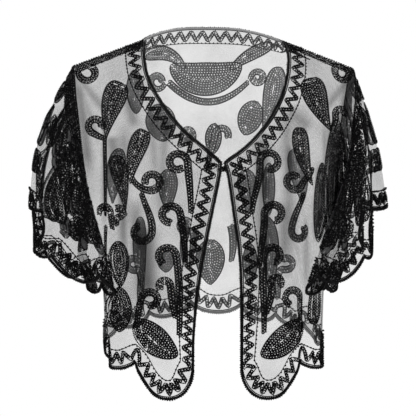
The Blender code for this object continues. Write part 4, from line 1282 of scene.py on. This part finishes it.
# Each finish: its two dyes, how finely they mix, how finely and between what its roughness
# varies, and its specular level.
FINISHES = {
    "black_net": (DYES, 25.0, (40.0, 0.65, 0.85), 0.2),
    "black_sequin": (DYES, 90.0, (300.0, 0.12, 0.3), 0.22),
    "jet_bead": (DYES, 200.0, (500.0, 0.08, 0.22), 0.25),
    "worn_bead": (WORN_DYES, 200.0, (500.0, 0.08, 0.22), 0.25),
    "black_thread": (DYES, 200.0, (300.0, 0.5, 0.75), 0.2),
    "worn_thread": (WORN_DYES, 200.0, (300.0, 0.5, 0.75), 0.2),
    "black_cord": (DYES, 150.0, (400.0, 0.35, 0.6), 0.2),
    "overcast_cord": (DYES, 150.0, (400.0, 0.35, 0.6), 0.2),
    "japanned_hook": (JAPAN_DYES, 900.0, (700.0, 0.25, 0.45), 0.5),
}
UNEVEN_NOISE = {"Detail": 4.0, "Roughness": 0.6}
UNEVEN_SPREAD = (0.3, 0.7)
UNEVEN = uneven_group()
MESH_OF_NET = net_mesh_group()


def new_material(name):
    material = bpy.data.materials.new(name)
    material.use_nodes = True
    nodes = Nodes(material.node_tree)
    shader = nodes.add("BsdfPrincipled")
    nodes.add("OutputMaterial", (), {"Surface": shader.outputs[0]})
    return material, nodes, shader.inputs


def net_alpha(nodes):
    """How opaque the net is: its threads, its slack and close places, its doubled seams and its painted crease shade.
    """
    uv = nodes.add("UVMap", {"uv_map": "cloth"}).outputs[0]
    mesh = nodes.add("Group", {"node_tree": MESH_OF_NET}, {"Vector": uv, **NET_MESH}).outputs["Thread"]
    alpha = nodes.ramp(mesh, 0.0, 1.0, NET_ALPHA["hole"], NET_ALPHA["thread"])
    hang = nodes.uneven(NET_ALPHA["scale"], NET_ALPHA["slack"], NET_ALPHA["close"])
    alpha = nodes.maths("MULTIPLY", alpha, hang)
    # The net doubled at its seams, plus painted shade in its creases, thickens the alpha here.
    gathered = nodes.maths("MULTIPLY", nodes.attribute("gathered"), NET_ALPHA["gathered"])
    denser = nodes.maths("MULTIPLY", nodes.maths("SUBTRACT", 1.0, alpha), gathered)
    return nodes.maths("ADD", alpha, denser, clamp=True)


def make_finish(name):
    """A material of the stole: its mottled dye and roughness, and what is its own."""
    dyes, grain, shine, specular = FINISHES[name]
    material, nodes, shader = new_material(name)
    mottle = nodes.uneven(grain, 0.0, 1.0)
    dyed, rough = nodes.blend(mottle, *dyes), nodes.uneven(*shine)
    if name == "black_net":
        nodes.feed(shader["Alpha"], net_alpha(nodes))
        shader["Sheen Weight"].default_value = NET_SHEEN
    elif name == "black_sequin":
        back = nodes.add("NewGeometry").outputs["Backfacing"]
        dyed = nodes.blend(back, dyed, SILVERED_BACK)
        rough = nodes.maths("MAXIMUM", rough, nodes.maths("MULTIPLY", back, SILVERED_ROUGHNESS))
    elif name == "overcast_cord":
        dyed = nodes.blend(nodes.attribute("inner"), dyed, INNER_DYE)
    elif name == "japanned_hook":
        nodes.feed(shader["Metallic"], nodes.maths("MULTIPLY", mottle, WORN_METAL))
    nodes.feed(shader["Base Color"], dyed)
    nodes.feed(shader["Roughness"], rough)
    shader["Specular IOR Level"].default_value = specular
    return material


def path(*corners, count=500):
    """Places along straight runs between corners, each given as (across, down)."""
    runs = [np.linspace(a, b, count) for a, b in zip(corners, corners[1:])]
    return np.concatenate([runs[0]] + [run[1:] for run in runs[1:]])


def make_cloths():
    """The five panels by name, each with the function that gives its points."""
    cloths = []
    for side, sign in (("right", -1), ("left", 1)):
        for kind, shape, down in (("front", front_point, ROWS), ("sleeve", sleeve_point, 1.0)):

            def place(a, d, shape=shape, side=side, turn=np.array([sign, 1.0, 1.0])):
                return shape(side, a, d) * turn

            cloths.append(Cloth(f"{kind}_{side}", place, (0.0, 1.0), down, -sign, kind == "sleeve"))
    cloths.append(Cloth("back", back_point, (-1.0, 1.0), ROWS, 1))
    return {cloth.name: cloth for cloth in cloths}


def embroider(cloth, curls, filled, stems, find):
    """Sews a design, whose drawn points are turned into places on the cloth by find."""
    for curl in curls:
        cloth.sew_stroke(find(curl_line(*curl)))
    for *stem, rows in stems:
        cloth.sew_stroke(find(bent_line(*stem)), rows=rows)
    for drawing in filled:
        cloth.fill_shape(drawing, find)


def sleeve_finder(cloth):
    """Turns millimetres along the hem and up from it into places on the sleeve."""
    at = cloth.grid(*SLEEVE_GRID)
    tall = np.linalg.norm(np.diff(cloth.point(at), axis=1), axis=-1).sum(1)

    def find(drawn):
        share = drawn[:, 0] / SLEEVE_ROUND
        return np.stack([share, 1 - drawn[:, 1] / np.interp(np.mod(share, 1), at[:, 0, 0], tall)], -1)

    return find


def shifted(drawing, by, mirrored):
    """The same curl or shape moved along the hem, or turned round to face the other way."""
    curl = abs(drawing[4]) > 100
    tip = 5 if curl else 2
    drawing = list(drawing)
    if mirrored:
        for k in (0, 4, 5) if curl else (0, 2, 5):
            drawing[k] = -drawing[k]
        for k in (3, 7) if curl else ():
            drawing[k] = 180 - drawing[k]
    drawing[0] += by
    drawing[tip] += by
    return drawing


def sew_panels(cloths):
    """Sews everything on, border first. Returns each panel's cut edges, with the nodes they stand for."""
    edges = {}

    def trim(name, cloth, edge):
        edges[name] = Border(cloth, edge, cloth.closed)
        edges[name].sew_trim()

    for side in ("right", "left"):
        front = cloths["front_" + side]
        trim("binding_front_" + side, front, path((0, 0), (0, ROWS), (1, ROWS)))
        front.sew_line(front.clip(path((1, 0), (1, UNDERARM_ROW))))
        shoulder = path((0, 0), (1, 0))
        front.sew_line(shoulder, SEAM_BEAD)
        Border(front, shoulder, deep=SHOULDER_ROWS[-1]).sew_rows(SHOULDER_ROWS)
    back = cloths["back"]
    trim("binding_back_neck", back, path((-NECK_SHARE, 0), (NECK_SHARE, 0), count=900))
    trim("binding_back_hem", back, path((-1, ROWS), (1, ROWS), count=1200))
    for sign in (-1, 1):
        back.sew_line(path((sign * NECK_SHARE, 0), (sign, 0)))
    for name in ("front_right", "front_left", "back"):
        embroider(cloths[name], CURLS[name], FILLED[name], STEMS[name], cloths[name].find)
    pitch = SLEEVE_ROUND / SLEEVE_REPEATS
    for side in ("right", "left"):
        sleeve = cloths["sleeve_" + side]
        trim("binding_sleeve_" + side, sleeve, path((0, 1), (1, 1), count=1500))
        seam = Border(sleeve, path((0, 0), (1, 0), count=1200), closed=True)
        seam.sew_line(1.0, step=1.0)
        seam.sew_rows(SEAM_ROWS)
        find = sleeve_finder(sleeve)
        for k in range(SLEEVE_REPEATS):
            mirrored = k % 2 == 1
            by = (k + 0.5) * pitch + (pitch / 2 if mirrored else -pitch / 2)
            curls, filled = (
                [shifted(drawing, by, mirrored) for drawing in drawings]
                for drawings in (SLEEVE_CURLS, SLEEVE_FILLED)
            )
            embroider(sleeve, curls, filled, (), find)
        embroider(sleeve, (), SLEEVE_SOLID, (), find)
    return edges


def build_stole():
    rng = np.random.default_rng(1925)
    cloths = make_cloths()
    edges = sew_panels(cloths)
    finish = {name: make_finish(name) for name in FINISHES}
    for name, cloth in cloths.items():
        worn = cloth.kind == "back"
        bead = finish["worn_bead" if worn else "jet_bead"]
        cord = finish["overcast_cord" if worn else "black_cord"]
        sheet = dress(build_net(cloth), finish["black_net"], "net", name)
        pieces = [dress(build_sequins(cloth, rng), finish["black_sequin"], "net")]
        at, radius = np.split(np.concatenate(cloth.beads), [2], axis=1)
        spots = cloth.point(at) + cloth.outward(at) * (radius + THREAD["radius"] * THREAD["sunk"])
        pieces.append(dress(build_beads("beads_" + name, spots, radius, rng), bead, "net"))
        pieces.append(dress(build_threads(cloth), finish["worn_thread" if worn else "black_thread"], "net"))
        for node, border in edges.items():
            if border.cloth is cloth:
                rolled, beads = build_corded_edge(border, "corded_" + node.split("_", 1)[1], rng)
                pieces += [dress(rolled, cord, "binding", node), dress(beads, bead, "binding")]
        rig.sheet(sheet, held="draped", with_pieces=pieces, **FLAT[cloth.kind])
    ends = []
    for name in ("hook", "eye"):
        node = frame["nodes"][name]
        ends += [node.matrix_world @ Vector(corner) for corner in node.bound_box]
        node.data.materials.clear()
        node.data.materials.append(finish["japanned_hook"])
    middle = np.mean([list(end) for end in ends], axis=0) / MM
    spots = middle + rng.normal(0, 1, (KNOT["beads"], 3)) * KNOT["spread"]
    dress(build_beads("knot_beads", spots, KNOT["radius"], rng), finish["jet_bead"], "net")


# The studio, in metres. The camera stands level, turned a little round the stole and aside of it.
CAMERA = {"away": 2.8, "height": -0.237, "turn": -6.0, "aside": -0.008, "lens": 169.4, "sensor": 36.0}
FLOOR = {"z": -1.45, "radius": 6.0, "sides": 96, "fade_from": 2.5, "fade_to": 5.5, "lift": 0.5, "grey": 0.86}
# Name, place, size and watts of each lamp, and the point that all of them face.
LIGHTS = (
    ("key", (-1.6, -2.2, 1.0), 0.7, 16.0),
    ("fill", (2.0, -1.8, 0.4), 0.7, 10.0),
    ("top", (0.2, 0.4, 2.0), 0.7, 12.0),
    ("back", (0.6, 2.2, 0.6), 0.8, 12.0),
)
AIM = (0.0, 0.0, -0.24)
WORLD_LIGHT = 0.07
WHITE = (1.0, 1.0, 1.0, 1.0)


def build_studio():
    scene = bpy.context.scene
    scene.view_settings.view_transform = "Standard"
    scene.cycles.transparent_max_bounces = 48
    data = bpy.data.cameras.new("camera")
    data.lens, data.sensor_width = CAMERA["lens"], CAMERA["sensor"]
    camera = bpy.data.objects.new("camera", data)
    scene.collection.objects.link(camera)
    turn = math.radians(CAMERA["turn"])
    camera.location = (
        math.sin(turn) * CAMERA["away"] + math.cos(turn) * CAMERA["aside"],
        -math.cos(turn) * CAMERA["away"] + math.sin(turn) * CAMERA["aside"],
        CAMERA["height"],
    )
    camera.rotation_euler = (math.pi / 2, 0.0, turn)
    scene.camera = camera
    for name, place, size, watts in LIGHTS:
        lamp = bpy.data.lights.new(name, "AREA")
        lamp.size, lamp.energy = size, watts
        light = bpy.data.objects.new(name, lamp)
        light.location = place
        scene.collection.objects.link(light)
        light.rotation_euler = (Vector(AIM) - light.location).to_track_quat("-Z", "Y").to_euler()
    scene.world = bpy.data.worlds.new("studio")
    scene.world.use_nodes = True
    nodes = Nodes(scene.world.node_tree)
    strength = nodes.ramp(nodes.camera_ray(), 0.0, 1.0, WORLD_LIGHT, 1.0)
    background = nodes.add("Background", (), {"Color": WHITE, "Strength": strength})
    nodes.add("OutputWorld", (), {"Surface": background.outputs[0]})


def build_floor():
    """A pale round floor that fades out at its rim."""
    sides = FLOOR["sides"]
    turns = np.linspace(0, 2 * math.pi, sides, endpoint=False)
    rim = np.stack([np.cos(turns), np.sin(turns), np.zeros(sides)], -1) * FLOOR["radius"] / MM
    points = np.concatenate([[[0, 0, 0]], rim]) + [0, 0, FLOOR["z"] / MM]
    ring = np.arange(1, sides + 1)
    faces = np.stack([np.zeros(sides, int), ring, np.roll(ring, -1)], -1)
    floor = make_mesh("floor", points, faces, smooth_faces=False)
    material, nodes, shader = new_material("pale_floor")
    shader["Roughness"].default_value = 0.9
    shader["Base Color"].default_value = (*[FLOOR["grey"]] * 3, 1.0)
    shader["Emission Color"].default_value = WHITE
    out_from_middle = nodes.vector("LENGTH", nodes.vector("MULTIPLY", nodes.spot(), (1.0, 1.0, 0.0)))
    nodes.feed(shader["Alpha"], nodes.ramp(out_from_middle, FLOOR["fade_from"], FLOOR["fade_to"], 1.0, 0.0))
    nodes.feed(shader["Emission Strength"], nodes.maths("MULTIPLY", nodes.camera_ray(), FLOOR["lift"]))
    floor.data.materials.append(material)
    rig.stage(floor)


build_stole()
build_studio()
build_floor()
with open("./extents.json", "w") as out:
    json.dump({"cad": solid_box, "visual": [list(corner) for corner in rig.bounds()]}, out)
